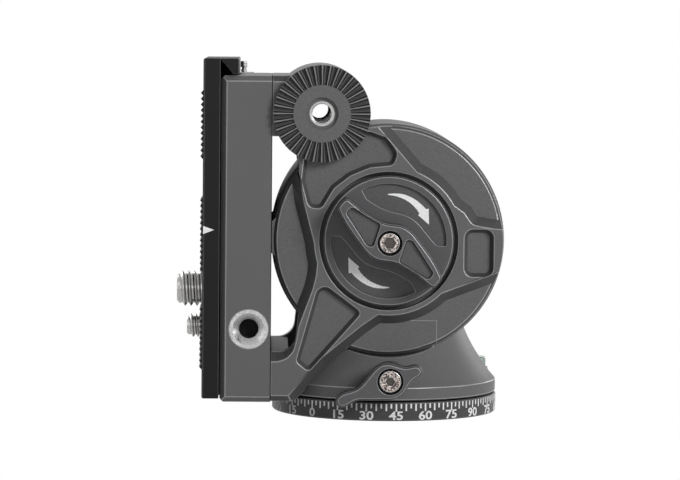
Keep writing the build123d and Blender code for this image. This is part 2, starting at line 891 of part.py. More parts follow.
def plate_blank():
    web_top = plate_inner_face + web_thickness
    outline = silhouette()
    web = cylinder_z(0, 0, disc_radius, plate_inner_face, web_top)
    web = chamfer(web.edges().group_by(Axis.Z)[-1], disc_edge)
    beyond = outline - Circle(disc_radius - disc_edge * 2)
    web += prism(beyond, plate_inner_face, web_top - disc_edge)
    bound = prism(outline, plate_inner_face, side_face)
    return web + (plate_ribs() & bound)


def plate_pockets():
    size = disc_radius
    upper = rounded_polygon(scaled(upper_pocket_shares, size), [r * size for r in upper_pocket_round_shares])
    lower = rounded_polygon(scaled(low_pocket_shares, size), [r * size for r in low_pocket_round_shares])
    return [sunk(face, side_face, pocket_depth, pocket_draft) for face in (upper, lower, right_pocket())]


def side_plate(place):
    plate = plate_blank()
    for pocket in plate_pockets():
        plate -= pocket
    plate += cylinder_z(rosette_x, rosette_z, boss_radius, plate_inner_face, side_face)
    floor_top = plate_inner_face + hub_floor
    plate -= cylinder_z(0, 0, knob_opening_radius, floor_top, side_face + overrun)
    plate -= cylinder_z(0, 0, hub_bore_radius, 0, side_face)
    for hole in around(hub_screw_shape(), hub_screw_count, screw_turn):
        plate -= hole
    for hole in around(brake_pin(running_gap), brake_pin_count, brake_pin_turn):
        plate -= hole
    plate -= cylinder_z(rosette_x, rosette_z, handle_insert_radius, 0, side_face + overrun)
    spigot_low = side_face - rosette_spigot
    plate -= cylinder_z(rosette_x, rosette_z, rosette_spigot_radius, spigot_low, side_face + overrun)
    for hole in bridge_screw_shapes():
        plate -= hole
    placed = place(plate)
    return placed - base_clearance(relief_gap)


def near_side_plate():
    return side_plate(near)


def far_side_plate():
    return side_plate(far)


def bridge_section():
    face = Pos(rosette_x, rosette_z) * Circle(boss_radius) + root_block()
    return face - Circle(drum_radius + wide_gap)


def bridge_screw_shape():
    seat = side_face - rosette_spigot
    head = cylinder_z(0, 0, hub_head_radius, seat, side_face)
    return head + cylinder_z(0, 0, hub_screw_radius, plate_inner_face - bearing_width, seat)


def bridge_screw_shapes():
    shapes = []
    for x_share, z_share in bridge_screw_shares:
        x = rosette_x + x_share * boss_radius
        z = rosette_z + z_share * boss_radius
        shapes.append(Pos(x, z, 0) * bridge_screw_shape())
    return shapes


def bridge_screws():
    pieces = []
    for shape in bridge_screw_shapes():
        pieces += [near(shape), far(shape)]
    return joined(pieces)


def upper_bridge():
    bridge = near(prism(bridge_section(), -plate_inner_face, plate_inner_face))
    bridge -= cylinder_y(rosette_x, rosette_z + tilt_height, handle_insert_radius, -side_face, side_face)
    for shape in bridge_screw_shapes():
        bridge = bridge - near(shape) - far(shape)
    for place in clamp_screw_places[1:]:
        for side in (-1, 1):
            bridge -= raised(clamp_screw_shape(side * clamp_screw_side, place))
    return bridge


def lower_crossbar():
    front = clamp_back + crossbar_width
    section = polygon([(clamp_back, foot_top), (front, foot_top), (clamp_back, foot_top - crossbar_drop)])
    bar = Rot(90, 0, 0) * prism(section, -plate_inner_face, plate_inner_face)
    for side in (-1, 1):
        bar -= clamp_screw_shape(side * clamp_screw_side, clamp_screw_places[0])
    return raised(bar) - base_clearance(relief_gap)


def rosette(place):
    high = side_face + rosette_height
    disc = cylinder_z(0, 0, rosette_radius, side_face, high)
    reach = rosette_radius + overrun
    half = rosette_tooth_width / 2
    lift = rosette_tooth_depth
    for turn in range(rosette_tooth_count):
        inner_half = half * rosette_tooth_inner / rosette_radius
        inner = Plane(origin=(rosette_tooth_inner, 0, high), x_dir=(0, 1, 0), z_dir=(1, 0, 0))
        outer = Plane(origin=(reach, 0, high), x_dir=(0, 1, 0), z_dir=(1, 0, 0))
        shallow = -lift * rosette_shallow_share
        small = inner * polygon([(-inner_half, running_gap), (inner_half, running_gap), (0, shallow)])
        large = outer * polygon([(-half, running_gap), (half, running_gap), (0, -lift)])
        disc -= Rot(0, 0, 360 * turn / rosette_tooth_count) * loft([small.face(), large.face()], ruled=True)
    disc += cylinder_z(0, 0, rosette_spigot_radius, side_face - rosette_spigot, side_face)
    disc -= cylinder_z(0, 0, handle_insert_radius, 0, high + overrun)
    disc -= cylinder_z(0, 0, rosette_counterbore_radius, high - rosette_counterbore, high + overrun)
    return place(Pos(rosette_x, rosette_z, 0) * disc)


def near_rosette():
    return rosette(near)


def far_rosette():
    return rosette(far)


def rosette_inserts():
    high = side_face + rosette_height - rosette_counterbore
    insert = ring(handle_insert_radius, handle_thread_radius, plate_inner_face, high)
    placed = Pos(rosette_x, rosette_z, 0) * insert
    return joined([near(placed), far(placed)])


# Tilt knob

def half_turn(points):
    return [(-x, -y) for x, y in points]


def knob_handle():
    edge = scaled(handle_edge_shares, knob_radius)
    back = half_turn(edge)
    upper = Spline(*edge)
    lower = Spline(*back)
    first = Line(edge[-1], back[0])
    second = Line(back[-1], edge[0])
    face = make_face([*upper.edges(), *first.edges(), *lower.edges(), *second.edges()])
    handle = prism(face, knob_face - edge_break, handle_face)
    corners = handle.edges().filter_by(Axis.Z)
    handle = fillet(corners, knob_recess_round)
    return chamfer(handle.edges().group_by(Axis.Z)[-1], handle_edge)


def knob_recess():
    inner = scaled(recess_inner_shares, knob_radius)
    outer_radius = recess_outer_share * knob_radius
    curve = Spline(*inner)
    start_angle = math.atan2(inner[0][1], inner[0][0])
    end_angle = math.atan2(inner[-1][1], inner[-1][0])
    rim = [(outer_radius * math.cos(a), outer_radius * math.sin(a))
           for a in (end_angle, (start_angle + end_angle) / 2, start_angle)]
    arc = ThreePointArc(*rim)
    first = Line(inner[-1], rim[0])
    last = Line(rim[-1], inner[0])
    face = make_face([*curve.edges(), *first.edges(), *arc.edges(), *last.edges()])
    cutter = prism(face, knob_face - knob_recess_depth, knob_face + overrun)
    return fillet(cutter.edges().filter_by(Axis.Z), edge_break)


def tilt_knob():
    knob = cylinder_z(0, 0, knob_radius, knob_under, knob_face)
    knob = chamfer(knob.edges().group_by(Axis.Z)[-1], knob_edge)
    recess = knob_recess()
    knob = knob - recess - Rot(0, 0, 180) * recess
    knob += knob_handle()
    radii = [share * knob_radius for share in handle_pocket_round_shares]
    pocket_face = rounded_polygon(scaled(handle_pocket_shares, knob_radius), radii)
    pocket = sunk(pocket_face, handle_face, handle_pocket_depth, handle_pocket_draft)
    knob = knob - pocket - Rot(0, 0, 180) * pocket
    knob -= cylinder_z(0, 0, knob_screw_recess_radius, knob_screw_seat, handle_face + overrun)
    knob -= cylinder_z(0, 0, knob_screw_shank_radius, 0, handle_face)
    knob -= cylinder_z(0, 0, tilt_stud_radius, 0, tilt_stud_end)
    return near(knob)


def tilt_knob_screw():
    return near(screw(
        knob_screw_head_radius, knob_screw_seat, knob_screw_face, knob_screw_shank_radius,
        knob_screw_end))


def tilt_stud():
    stud = cylinder_z(0, 0, tilt_stud_radius, tilt_stud_start, tilt_stud_end)
    return near(stud - cylinder_z(0, 0, knob_screw_shank_radius, knob_screw_end, handle_face))


def far_hub_cap():
    cap = cylinder_z(0, 0, knob_opening_radius, plate_inner_face + hub_floor, cap_face)
    cap = chamfer(cap.edges().group_by(Axis.Z)[-1], edge_break)
    cap -= cylinder_z(0, 0, cap_dish_radius, cap_face - cap_dish, cap_face + overrun)
    cap += cylinder_z(0, 0, hub_bore_radius, plate_inner_face, plate_inner_face + hub_floor)
    for hole in around(brake_pin(running_gap), brake_pin_count, brake_pin_turn):
        cap -= hole
    return far(cap)


# Clamp

def clamp_screw_shape(y, z):
    seat = clamp_floor + clamp_screw_sink
    head = cylinder_x(y, z, clamp_screw_head_radius, clamp_floor + slide_gap, seat)
    return head + cylinder_x(y, z, clamp_screw_radius, seat, clamp_screw_end)


def clamp_screw_spots():
    return [(side * clamp_screw_side, place) for place in clamp_screw_places for side in (-1, 1)]


def clamp_screws():
    pieces = []
    for y, z in clamp_screw_spots():
        cut = Pos(clamp_floor, y, z) * Rot(0, 90, 0) * extrude(RegularPolygon(socket_radius, 6), socket_depth)
        pieces.append(raised(clamp_screw_shape(y, z) - cut))
    return joined(pieces)


def dovetail_side(side):
    """Undercut edge of a clamp jaw (x, y): front tip, foot of the slope, floor."""
    land = plate_bottom - dovetail_land
    slope = (dovetail_half - dovetail_neck_half) / (land - plate_flange_back)
    room = slide_gap * 2
    tip = dovetail_neck_half + slope * (clamp_front - plate_flange_back) + room
    foot = dovetail_half + room
    return [(clamp_front, side * tip), (land + slide_gap, side * foot), (clamp_floor, side * foot)]


def jaw_corner_cuts(side):
    """Bevel at the upper inside corner, clear of the groove's run-out."""
    tip, slope_foot, _ = dovetail_side(side)
    middle = (tip[1] + slope_foot[1]) / 2
    reach = clamp_floor - clamp_front + overrun
    bevel = Rot(45, 0, 0) * Box(reach, jaw_relief, jaw_relief)
    return Pos((clamp_front + clamp_floor) / 2, middle, clamp_high) * bevel


def clamp_body():
    face = polygon([
        (clamp_back, -side_face), (clamp_front, -side_face), *dovetail_side(-1),
        (clamp_floor, body_far_side), (clamp_back, body_far_side)])
    body = prism(face, clamp_low, clamp_high) - jaw_corner_cuts(-1)
    outer = block((clamp_front, clamp_back), (-side_face, side_face), (clamp_low, clamp_high))
    front = outer.faces().sort_by(Axis.Y)[0]
    rims = [edge for edge in front.edges() if edge.center().X < clamp_back - edge_break]
    body &= chamfer(rims, clamp_chamfer)
    for z_edge in (clamp_low, clamp_high):
        corner = Pos(clamp_front, 0, z_edge) * Rot(0, 45, 0) * Box(clamp_round, head_width, clamp_round)
        body -= corner
    body -= cylinder_y(0, 0, drum_radius + open_gap, -plate_inner_face, plate_inner_face)
    for y, z in clamp_screw_spots():
        body -= clamp_screw_shape(y, z)
        sink = clamp_floor + clamp_screw_sink
        body -= cylinder_x(y, z, clamp_screw_head_radius, clamp_floor - overrun, sink)
    outside = -side_face - overrun
    body -= cylinder_y(accessory_x, accessory_z, accessory_insert_radius, outside, insert_end())
    body -= cylinder_y(clamp_lever_x, lever_pivot_z, draw_bolt_radius, draw_bolt_start, side_face)
    for place in guide_pin_places:
        body -= cylinder_y(guide_pin_x, place, guide_pin_radius, guide_pin_start, side_face)
        body -= cylinder_y(guide_pin_x, place, spring_pocket, body_far_side - spring_length, side_face)
    catch_floor = clamp_high - catch_depth
    body -= cylinder_z(catch_x, catch_y, catch_bore_radius, catch_floor, clamp_high + overrun)
    return raised(body)


def insert_end():
    return -side_face + accessory_thread_length


def accessory_insert():
    insert = cylinder_y(accessory_x, accessory_z, accessory_insert_radius, -side_face, insert_end())
    outside = -side_face - overrun
    inside = insert_end() + overrun
    insert -= cylinder_y(accessory_x, accessory_z, accessory_thread_radius, outside, inside)
    mouth = Cone(accessory_thread_radius + accessory_cone, accessory_thread_radius, accessory_cone)
    placed = Pos(accessory_x, -side_face + accessory_cone / 2, accessory_z) * Rot(-90, 0, 0) * mouth
    return raised(insert - placed)


def moving_jaw():
    tip, slope_foot, floor_corner = dovetail_side(1)
    foot = (clamp_floor - slide_gap, floor_corner[1])
    leg = body_far_side + slide_gap
    face = polygon([
        (clamp_front, side_face), tip, slope_foot, foot, (foot[0], leg),
        (jaw_leg_end, leg), (jaw_leg_end, side_face)])
    jaw = prism(face, clamp_low, clamp_high) - jaw_corner_cuts(1)
    outer = block((clamp_front, clamp_back), (-side_face, side_face), (clamp_low, clamp_high))
    back = outer.faces().sort_by(Axis.Y)[-1]
    jaw &= chamfer(back.edges(), jaw_chamfer)
    for place in guide_pin_places:
        jaw -= cylinder_y(guide_pin_x, place, guide_pin_radius + running_gap, 0, side_face + overrun)
    bolt_room = draw_bolt_radius + slide_gap
    jaw -= cylinder_y(clamp_lever_x, lever_pivot_z, bolt_room, 0, side_face + overrun)
    return raised(jaw)


def jaw_guide_pins():
    pins = [cylinder_y(guide_pin_x, place, guide_pin_radius, guide_pin_start, guide_pin_end)
            for place in guide_pin_places]
    return joined([raised(pin) for pin in pins])


def jaw_springs():
    coil = spring(spring_radius, spring_wire, spring_pitch, spring_length - slide_gap)
    start = body_far_side - spring_length + running_gap
    coils = [Pos(guide_pin_x, start, place) * Rot(-90, 0, 0) * coil for place in guide_pin_places]
    return joined([raised(placed) for placed in coils])


def draw_bolt():
    bolt = cylinder_y(clamp_lever_x, lever_pivot_z, draw_bolt_radius, draw_bolt_start, side_face)
    half = eye_thickness / 2
    tongue = tongue_width / 2
    thickness = (clamp_lever_x - half, clamp_lever_x + half)
    bolt += block(thickness, (side_face, lever_pivot_y), (lever_pivot_z - tongue, lever_pivot_z + tongue))
    bolt += cylinder_x(lever_pivot_y, lever_pivot_z, eye_radius, *thickness)
    bore = cylinder_x(lever_pivot_y, lever_pivot_z, lever_pin_radius + running_gap, *lever_span())
    return raised(bolt - bore)


def lever_span():
    half = clamp_lever_width / 2
    return clamp_lever_x - half, clamp_lever_x + half


def lever_pin_shape():
    return cylinder_x(lever_pivot_y, lever_pivot_z, lever_pin_radius, *lever_span())


def lever_pin():
    return raised(lever_pin_shape())


def clamp_lever():
    """Eccentric lever lying along the clamp's far side, hinged across the draw bolt."""
    tip = clamp_lever_length
    arm = polygon([
        (-clamp_lever_root, cam_throw), (-clamp_lever_back, tip), (clamp_lever_tip, tip - edge_break),
        (cam_radius, cam_throw)])
    face = Pos(0, cam_throw) * Circle(cam_radius) + arm
    start, end = lever_span()
    lever = Pos(start, lever_pivot_y, lever_pivot_z) * extrude(Plane.YZ * face, end - start)
    slot_half = eye_thickness / 2 + slide_gap
    lever -= block(
        (clamp_lever_x - slot_half, clamp_lever_x + slot_half),
        (side_face, lever_pivot_y + lever_slot_reach),
        (lever_pivot_z - lever_slot_reach, lever_pivot_z + lever_slot_top))
    return raised(lever - lever_pin_shape())


def catch_base():
    width = (catch_y - catch_base_half, catch_y + catch_base_half)
    height = (clamp_high, clamp_high + catch_base_thickness)
    base = block((catch_x - catch_head_radius, catch_base_end), width, height)
    bore = cylinder_z(catch_x, catch_y, catch_bore_radius, clamp_high - overrun, clamp_high + overrun)
    return raised(base - bore)


def catch_pin():
    top = clamp_high + catch_height
    pin = cylinder_z(0, 0, catch_head_radius, top - catch_head_height, top)
    pin = fillet(pin.edges().group_by(Axis.Z)[-1], edge_break)
    low = clamp_high - catch_depth + catch_spring_room
    pin += cylinder_z(0, 0, catch_stem_radius, low, top - catch_head_height)
    collar_low = clamp_high + catch_base_thickness + slide_gap
    pin += cylinder_z(0, 0, catch_collar_radius, collar_low, collar_low + catch_collar_height)
    return raised(Pos(catch_x, catch_y, 0) * pin)


def catch_spring():
    low = clamp_high - catch_depth
    coil = spring(catch_spring_radius, catch_spring_wire, catch_spring_pitch, catch_spring_length)
    return raised(Pos(catch_x, catch_y, low + running_gap) * coil)


# Camera plate

def dovetail_groove():
    """Cutter path along the plate's side, ending in the run-out of a conical cutter."""
    land = plate_bottom - dovetail_land
    axis_y = side_face - cutter_offset
    slope_radius = axis_y - dovetail_half
    wide_radius = axis_y - dovetail_neck_half
    centre_z = groove_reach - math.sqrt(wide_radius ** 2 - cutter_offset ** 2)
    beyond = side_face + overrun
    bottom = plate_bottom + overrun
    face = polygon([
        (plate_flange_back, dovetail_neck_half), (land, dovetail_half), (bottom, dovetail_half),
        (bottom, beyond), (plate_flange_back, beyond)])
    path = prism(face, plate_low - overrun, centre_z)
    cone = Cone(wide_radius, slope_radius, land - plate_flange_back)
    nose = Pos((land + plate_flange_back) / 2, axis_y, centre_z) * Rot(0, 90, 0) * cone
    nose += cylinder_x(axis_y, centre_z, slope_radius, land, bottom)
    return path + nose


def slot_cutter(half, low, high, start, end):
    slot = cylinder_x(0, low, half, start, end) + cylinder_x(0, high, half, start, end)
    return slot + block((start, end), (-half, half), (low, high))


def quick_release_plate():
    plate = block((plate_face, plate_bottom), (-side_face, side_face), (plate_low, plate_high))
    plate = fillet(plate.edges().filter_by(Axis.X), plate_edge)
    plate = chamfer(plate.faces().sort_by(Axis.X)[0].edges(), edge_break)
    groove = dovetail_groove()
    plate = plate - groove - mirror(groove, about=Plane.XZ)
    outside = plate_face - overrun
    inside = plate_bottom + overrun
    pocket_low = screw_pocket_low + screw_pocket_half
    pocket_high = screw_pocket_high - screw_pocket_half
    plate -= slot_cutter(screw_pocket_half, pocket_low, pocket_high, screw_pocket_face, inside)
    large_half = large_screw_radius + slot_side_gap
    small_half = small_thread_radius + slot_side_gap
    plate -= slot_cutter(large_half, large_slot_low, large_slot_high, outside, inside)
    plate -= slot_cutter(small_half, small_slot_low, small_slot_high, outside, inside)
    for low, teeth in pad_rows:
        for side in (-1, 1):
            plate -= pad_blank(low, teeth, side)
    return raised(plate)


def pad_range(side):
    return sorted((side * pad_inner, side * pad_outer))


def pad_blank(low, teeth, side):
    depth = (plate_face - overrun, plate_face + pad_sink)
    return block(depth, pad_range(side), (low, low + teeth * pad_pitch))


def pad_strip(low, teeth, side):
    """Rubber strip with saw teeth across the plate."""
    points = [(plate_face, low)]
    for tooth in range(teeth):
        start = low + tooth * pad_pitch
        points += [(plate_face - pad_tooth, start + pad_pitch / 2), (plate_face, start + pad_pitch)]
    points += [(plate_face + pad_sink, low + teeth * pad_pitch), (plate_face + pad_sink, low)]
    inner, outer = pad_range(side)
    return Rot(90, 0, 0) * prism(polygon(points), -outer, -inner)


def grip_pads():
    pads = []
    for low, teeth in pad_rows:
        pads += [raised(pad_strip(low, teeth, side)) for side in (-1, 1)]
    return joined(pads)


def camera_screw(radius, tip, head_radius, z):
    """Captive screw: head in the pocket, thin neck through the plate, thread outside the retainer."""
    seat = screw_pocket_face + slide_gap
    head_high = seat + camera_head_height
    thread_end = plate_face - retainer_thickness - running_gap * 2
    thread = cylinder_x(0, 0, radius, tip, thread_end)
    one = chamfer(thread.edges().group_by(Axis.X)[0], edge_break * 2)
    one += cylinder_x(0, 0, radius - camera_neck_step, thread_end, seat)
    one += cylinder_x(0, 0, head_radius, seat, head_high)
    depth = camera_head_height * socket_depth_share
    hexagon = extrude(RegularPolygon(radius * camera_socket_share, 6), depth)
    one -= Pos(head_high - depth, 0, 0) * Rot(0, 90, 0) * hexagon
    return raised(Pos(0, 0, z) * one)


def large_camera_screw():
    return camera_screw(large_screw_radius, large_screw_tip, large_head_radius, large_slot_low)


def small_camera_screw():
    return camera_screw(small_thread_radius, small_screw_tip, small_camera_head_radius, small_slot_high)


def retainer(radius, z):
    start = plate_face - retainer_thickness - running_gap
    end = plate_face - running_gap
    washer = cylinder_x(0, z, radius + retainer_wall, start, end)
    neck = radius - camera_neck_step + running_gap
    return raised(washer - cylinder_x(0, z, neck, start - overrun, end + overrun))


def large_screw_retainer():
    return retainer(large_screw_radius, large_slot_low)


def small_screw_retainer():
    return retainer(small_thread_radius, small_slot_high)


NODES = [
    mount_disc, tripod_insert, scale_ring, pan_spindle, spindle_screws, pan_damper_ring, pan_nut,
    main_body, pan_thrust_washer, pan_wave_washer, pan_brake_shoe, pan_lock_stud, pan_lock_lever,
    pan_lock_screw, level_cup, level_vial, bearing_carrier, carrier_screws, tilt_bearings, fluid_cup,
    cup_lid, cartridge_seals, brake_lining, tilt_axle, far_axle_flange, fluid_rotor, brake_ring,
    brake_pins, near_side_plate, far_side_plate, hub_screws, upper_bridge, lower_crossbar,
    bridge_screws, near_rosette, far_rosette, rosette_inserts, far_hub_cap, tilt_knob,
    tilt_knob_screw, tilt_stud, clamp_body, clamp_screws, accessory_insert, moving_jaw,
    jaw_guide_pins, jaw_springs, draw_bolt, clamp_lever, lever_pin, catch_base, catch_pin,
    catch_spring, quick_release_plate, grip_pads, large_camera_screw, small_camera_screw,
    large_screw_retainer, small_screw_retainer]

for build_node in NODES:
    shape = build_node()
    export_step(shape, f"parts/{build_node.__name__}.step")
    print(build_node.__name__, round(shape.volume, 1))
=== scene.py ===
"""Looks of a compact fluid video head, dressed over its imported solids."""

import logging
import math
from collections.abc import Callable
from dataclasses import dataclass, field
from enum import Enum

import bmesh
import bpy
from mathutils import Matrix, Vector
from mathutils.bvhtree import BVHTree


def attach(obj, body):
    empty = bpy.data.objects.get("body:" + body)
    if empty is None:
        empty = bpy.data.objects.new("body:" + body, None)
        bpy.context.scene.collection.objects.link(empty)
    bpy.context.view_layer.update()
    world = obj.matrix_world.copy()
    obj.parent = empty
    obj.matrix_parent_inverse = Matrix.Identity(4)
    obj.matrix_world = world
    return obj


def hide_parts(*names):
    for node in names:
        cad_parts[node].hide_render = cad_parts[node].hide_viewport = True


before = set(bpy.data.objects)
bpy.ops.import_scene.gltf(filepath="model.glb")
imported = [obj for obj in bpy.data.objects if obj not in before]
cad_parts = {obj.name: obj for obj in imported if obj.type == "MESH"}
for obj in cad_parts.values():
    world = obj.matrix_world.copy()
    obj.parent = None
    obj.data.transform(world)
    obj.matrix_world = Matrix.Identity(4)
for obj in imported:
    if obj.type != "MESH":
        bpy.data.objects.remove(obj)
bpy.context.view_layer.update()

logging.basicConfig(level=logging.INFO, format="%(message)s")
log = logging.getLogger("fluid_head")

MM = 0.001
TILT_HEIGHT = 46.65 * MM
WELD = 0.002 * MM
Shade = tuple[float, float, float]


class Body(Enum):
    """Moving bodies of the head."""

    TRIPOD = "tripod_side"
    PAN = "pan_body"
    PAN_LOCK = "pan_lock"
    PLATFORM = "platform"
    TILT_LOCK = "tilt_lock"
    JAW = "jaw"
    CAM = "cam"
    CAMERA_PLATE = "camera_plate"
    LARGE_SCREW = "large_screw"
    SMALL_SCREW = "small_screw"


class Slot(Enum):
    """Material slots of the part's record."""

    RING = "ring_black"
    HOUSING = "housing"
    PLATE_GRAY = "plate_gray"
    ROSETTE = "rosette_black"
    KNOB = "knob_black"
    CAMERA_PLATE = "plate_black"
    RUBBER = "pad_rubber"
    STEEL = "steel"
    MACHINED = "machined"
    POLYMER = "bearing_plastic"
    SEAL = "seal_rubber"
    LEVEL_METAL = "level_metal"
    LEVEL_FLUID = "level_fluid"


class Layout(Enum):
    """How tool marks run over a metal piece: stretch of the noise along each axis."""

    GRAIN = (1.0, 1.0, 1.0)
    ROUND_Y = (1.0, 14.0, 1.0)
    ROUND_Z = (1.0, 1.0, 14.0)


@dataclass(frozen=True)
class Coat:
    """A finished material and the record slot it belongs to."""

    material: bpy.types.Material
    slot: Slot


class NodeSheet:
    """A material's node tree with short calls for the nodes used here."""

    def __init__(self, name: str) -> None:
        """Start an empty node material.

        Args:
            name: the material's name.
        """
        self.material = bpy.data.materials.new(name)
        self.material.use_nodes = True
        self.tree = self.material.node_tree
        self.tree.nodes.clear()
        self.output = self.tree.nodes.new("ShaderNodeOutputMaterial")
        self.shader = self.tree.nodes.new("ShaderNodeBsdfPrincipled")
        self.tree.links.new(self.shader.outputs[0], self.output.inputs[0])
        self.place = self.tree.nodes.new("ShaderNodeTexCoord").outputs["Object"]

    def feed(self, node: bpy.types.Node, key: str | int, value: object) -> None:
        """Set or link one input socket.

        Args:
            node: the node that receives it.
            key: the socket's name or number.
            value: a constant or an output socket.
        """
        socket = node.inputs[key]
        if isinstance(value, bpy.types.NodeSocket):
            self.tree.links.new(value, socket)
        else:
            socket.default_value = value

    def node(self, kind: str, **inputs: object) -> bpy.types.Node:
        """Add a node and set or link its inputs.

        Args:
            kind: the node's type name without the ShaderNode prefix.
            **inputs: socket names, with underscores for spaces, and their values or source sockets.

        Returns:
            The new node.
        """
        made = self.tree.nodes.new("ShaderNode" + kind)
        for key, value in inputs.items():
            self.feed(made, key.replace("_", " "), value)
        return made

    def noise(self, scale: float, detail: float = 2.0, roughness: float = 0.5,
              vector: bpy.types.NodeSocket | None = None) -> bpy.types.NodeSocket:
        """Fractal noise over the object's own coordinates.

        Args:
            scale: cells per metre.
            detail: number of octaves.
            roughness: how strong the fine octaves are.
            vector: coordinates to use instead of the object's.

        Returns:
            The noise value socket.
        """
        made = self.node("TexNoise", Vector=vector or self.place, Scale=scale, Detail=detail,
                         Roughness=roughness)
        return made.outputs["Fac"]

    def span(self, value: bpy.types.NodeSocket, low: float, high: float,
             to_low: float = 0.0, to_high: float = 1.0) -> bpy.types.NodeSocket:
        """Map a value from one range to another, clamped.

        Args:
            value: the source socket.
            low: start of the source range.
            high: end of the source range.
            to_low: result at the start.
            to_high: result at the end.

        Returns:
            The mapped socket.
        """
        made = self.tree.nodes.new("ShaderNodeMapRange")
        for index, number in enumerate((value, low, high, to_low, to_high)):
            self.feed(made, index, number)
        return made.outputs[0]

    def blend(self, factor: bpy.types.NodeSocket, first: object, second: object) -> bpy.types.NodeSocket:
        """Mix two colours.

        Args:
            factor: share of the second colour.
            first: a colour or a socket.
            second: a colour or a socket.

        Returns:
            The mixed colour socket.
        """
        made = self.tree.nodes.new("ShaderNodeMix")
        made.data_type = "RGBA"
        for index, value in ((0, factor), (6, first), (7, second)):
            self.feed(made, index, value if isinstance(value, bpy.types.NodeSocket) else (*value, 1.0))
        return made.outputs[2]

    def sum_up(self, operation: str, first: object, second: object) -> bpy.types.NodeSocket:
        """Work out two numbers or sockets with a maths node.

        Args:
            operation: the node's operation.
            first: a number or a socket.
            second: a number or a socket.

        Returns:
            The result socket.
        """
        made = self.tree.nodes.new("ShaderNodeMath")
        made.operation = operation
        self.feed(made, 0, first)
        self.feed(made, 1, second)
        return made.outputs[0]

    def finish(self, colour: bpy.types.NodeSocket, roughness: bpy.types.NodeSocket, **constants: float) -> None:
        """Connect colour and roughness and set the shader's other sockets.

        Args:
            colour: the colour socket.
            roughness: the roughness socket.
            **constants: shader sockets, with underscores for spaces, and their constant values.
        """
        self.feed(self.shader, "Base Color", colour)
        self.feed(self.shader, "Roughness", roughness)
        for key, value in constants.items():
            self.feed(self.shader, key.replace("_", " "), value)

    def bump(self, height: bpy.types.NodeSocket, strength: float, distance: float) -> None:
        """Give the shader a bump from a height socket.

        Args:
            height: the height field.
            strength: 0 to 1.
            distance: height of a full step in metres.
        """
        made = self.node("Bump", Height=height, Strength=strength, Distance=distance)
        self.feed(self.shader, "Normal", made.outputs[0])


def scaled(shade: Shade, share: float) -> Shade:
    """Colour made lighter or darker by a share, kept under full white."""
    return tuple(min(0.95, part * share) for part in shade)


@dataclass(frozen=True)
class Anodised:
    """Bead-blasted, anodised aluminium: matte, finely grained, slightly cloudy."""

    name: str
    slot: Slot
    shade: Shade
    gloss: float = 0.42
    metal: float = 0.0
    sheen: float = 0.2
    grain: float = 0.3

    def make(self) -> Coat:
        """Build the node material."""
        sheet = NodeSheet(self.name)
        grain = sheet.noise(5200.0, 2.0, 0.6)
        cloud = sheet.noise(90.0, 3.0, 0.55)
        speckled = sheet.blend(sheet.span(grain, 0.34, 0.66), scaled(self.shade, 0.78), scaled(self.shade, 1.25))
        clouded = sheet.blend(sheet.span(cloud, 0.35, 0.7, 0.0, 0.35), speckled, self.shade)
        rough = sheet.span(grain, 0.3, 0.7, self.gloss - 0.06, self.gloss + 0.08)
        sheet.finish(clouded, rough, Metallic=self.metal, Specular_IOR_Level=self.sheen)
        sheet.bump(grain, self.grain, 0.04 * MM)
        return Coat(sheet.material, self.slot)


@dataclass(frozen=True)
class PaintedToothLight:
    """Anodised serrations with painted light and shade: painted highlights on the crests, painted black shadow on
    the tooth sides and gray valleys.
    """

    name: str
    slot: Slot
    place: tuple[float, float]
    teeth: int = 36
    crest: Shade = (0.24, 0.24, 0.243)
    flank_shadow: Shade = (0.004, 0.004, 0.004)
    valley: Shade = (0.105, 0.105, 0.107)

    def make(self) -> Coat:
        """Build the node material."""
        sheet = NodeSheet(self.name)
        grain = sheet.noise(5200.0, 2.0, 0.6)
        split = sheet.node("SeparateXYZ", Vector=sheet.place)
        across = sheet.sum_up("SUBTRACT", split.outputs["X"], self.place[0])
        above = sheet.sum_up("SUBTRACT", split.outputs["Z"], self.place[1])
        turns = sheet.sum_up("MULTIPLY", sheet.sum_up("ARCTAN2", above, across), self.teeth / math.tau)
        from_crest = sheet.sum_up("PINGPONG", turns, 0.5)
        # painted highlight on the crests and painted shadow on the tooth sides, set by the angle round the rosette
        shaded = sheet.blend(sheet.span(from_crest, 0.06, 0.12), self.crest, self.flank_shadow)
        shaded = sheet.blend(sheet.span(from_crest, 0.24, 0.32), shaded, self.valley)
        toned = sheet.blend(sheet.span(grain, 0.34, 0.66, 0.0, 0.25), shaded, self.flank_shadow)
        sheet.finish(toned, sheet.span(grain, 0.3, 0.7, 0.36, 0.5), Specular_IOR_Level=0.15)
        sheet.bump(grain, 0.25, 0.04 * MM)
        return Coat(sheet.material, self.slot)


@dataclass(frozen=True)
class BareSteel:
    """Plain machined metal, turned or brushed, with small tool marks."""

    name: str
    slot: Slot
    shade: Shade = (0.63, 0.62, 0.60)
    gloss: float = 0.24
    layout: Layout = Layout.GRAIN
    dark_share: float = 0.7

    def make(self) -> Coat:
        """Build the node material."""
        sheet = NodeSheet(self.name)
        mapping = sheet.node("Mapping", Vector=sheet.place, Scale=self.layout.value)
        marks = sheet.noise(1500.0, 3.0, 0.6, mapping.outputs[0])
        stain = sheet.noise(260.0, 2.0, 0.5)
        dark = scaled(self.shade, self.dark_share)
        toned = sheet.blend(sheet.span(marks, 0.3, 0.7), dark, self.shade)
        rough = sheet.span(marks, 0.3, 0.7, self.gloss - 0.07, self.gloss + 0.10)
        sheet.finish(sheet.blend(sheet.span(stain, 0.4, 0.8, 0.0, 0.25), toned, dark), rough, Metallic=1.0)
        sheet.bump(marks, 0.22, 0.03 * MM)
        return Coat(sheet.material, self.slot)


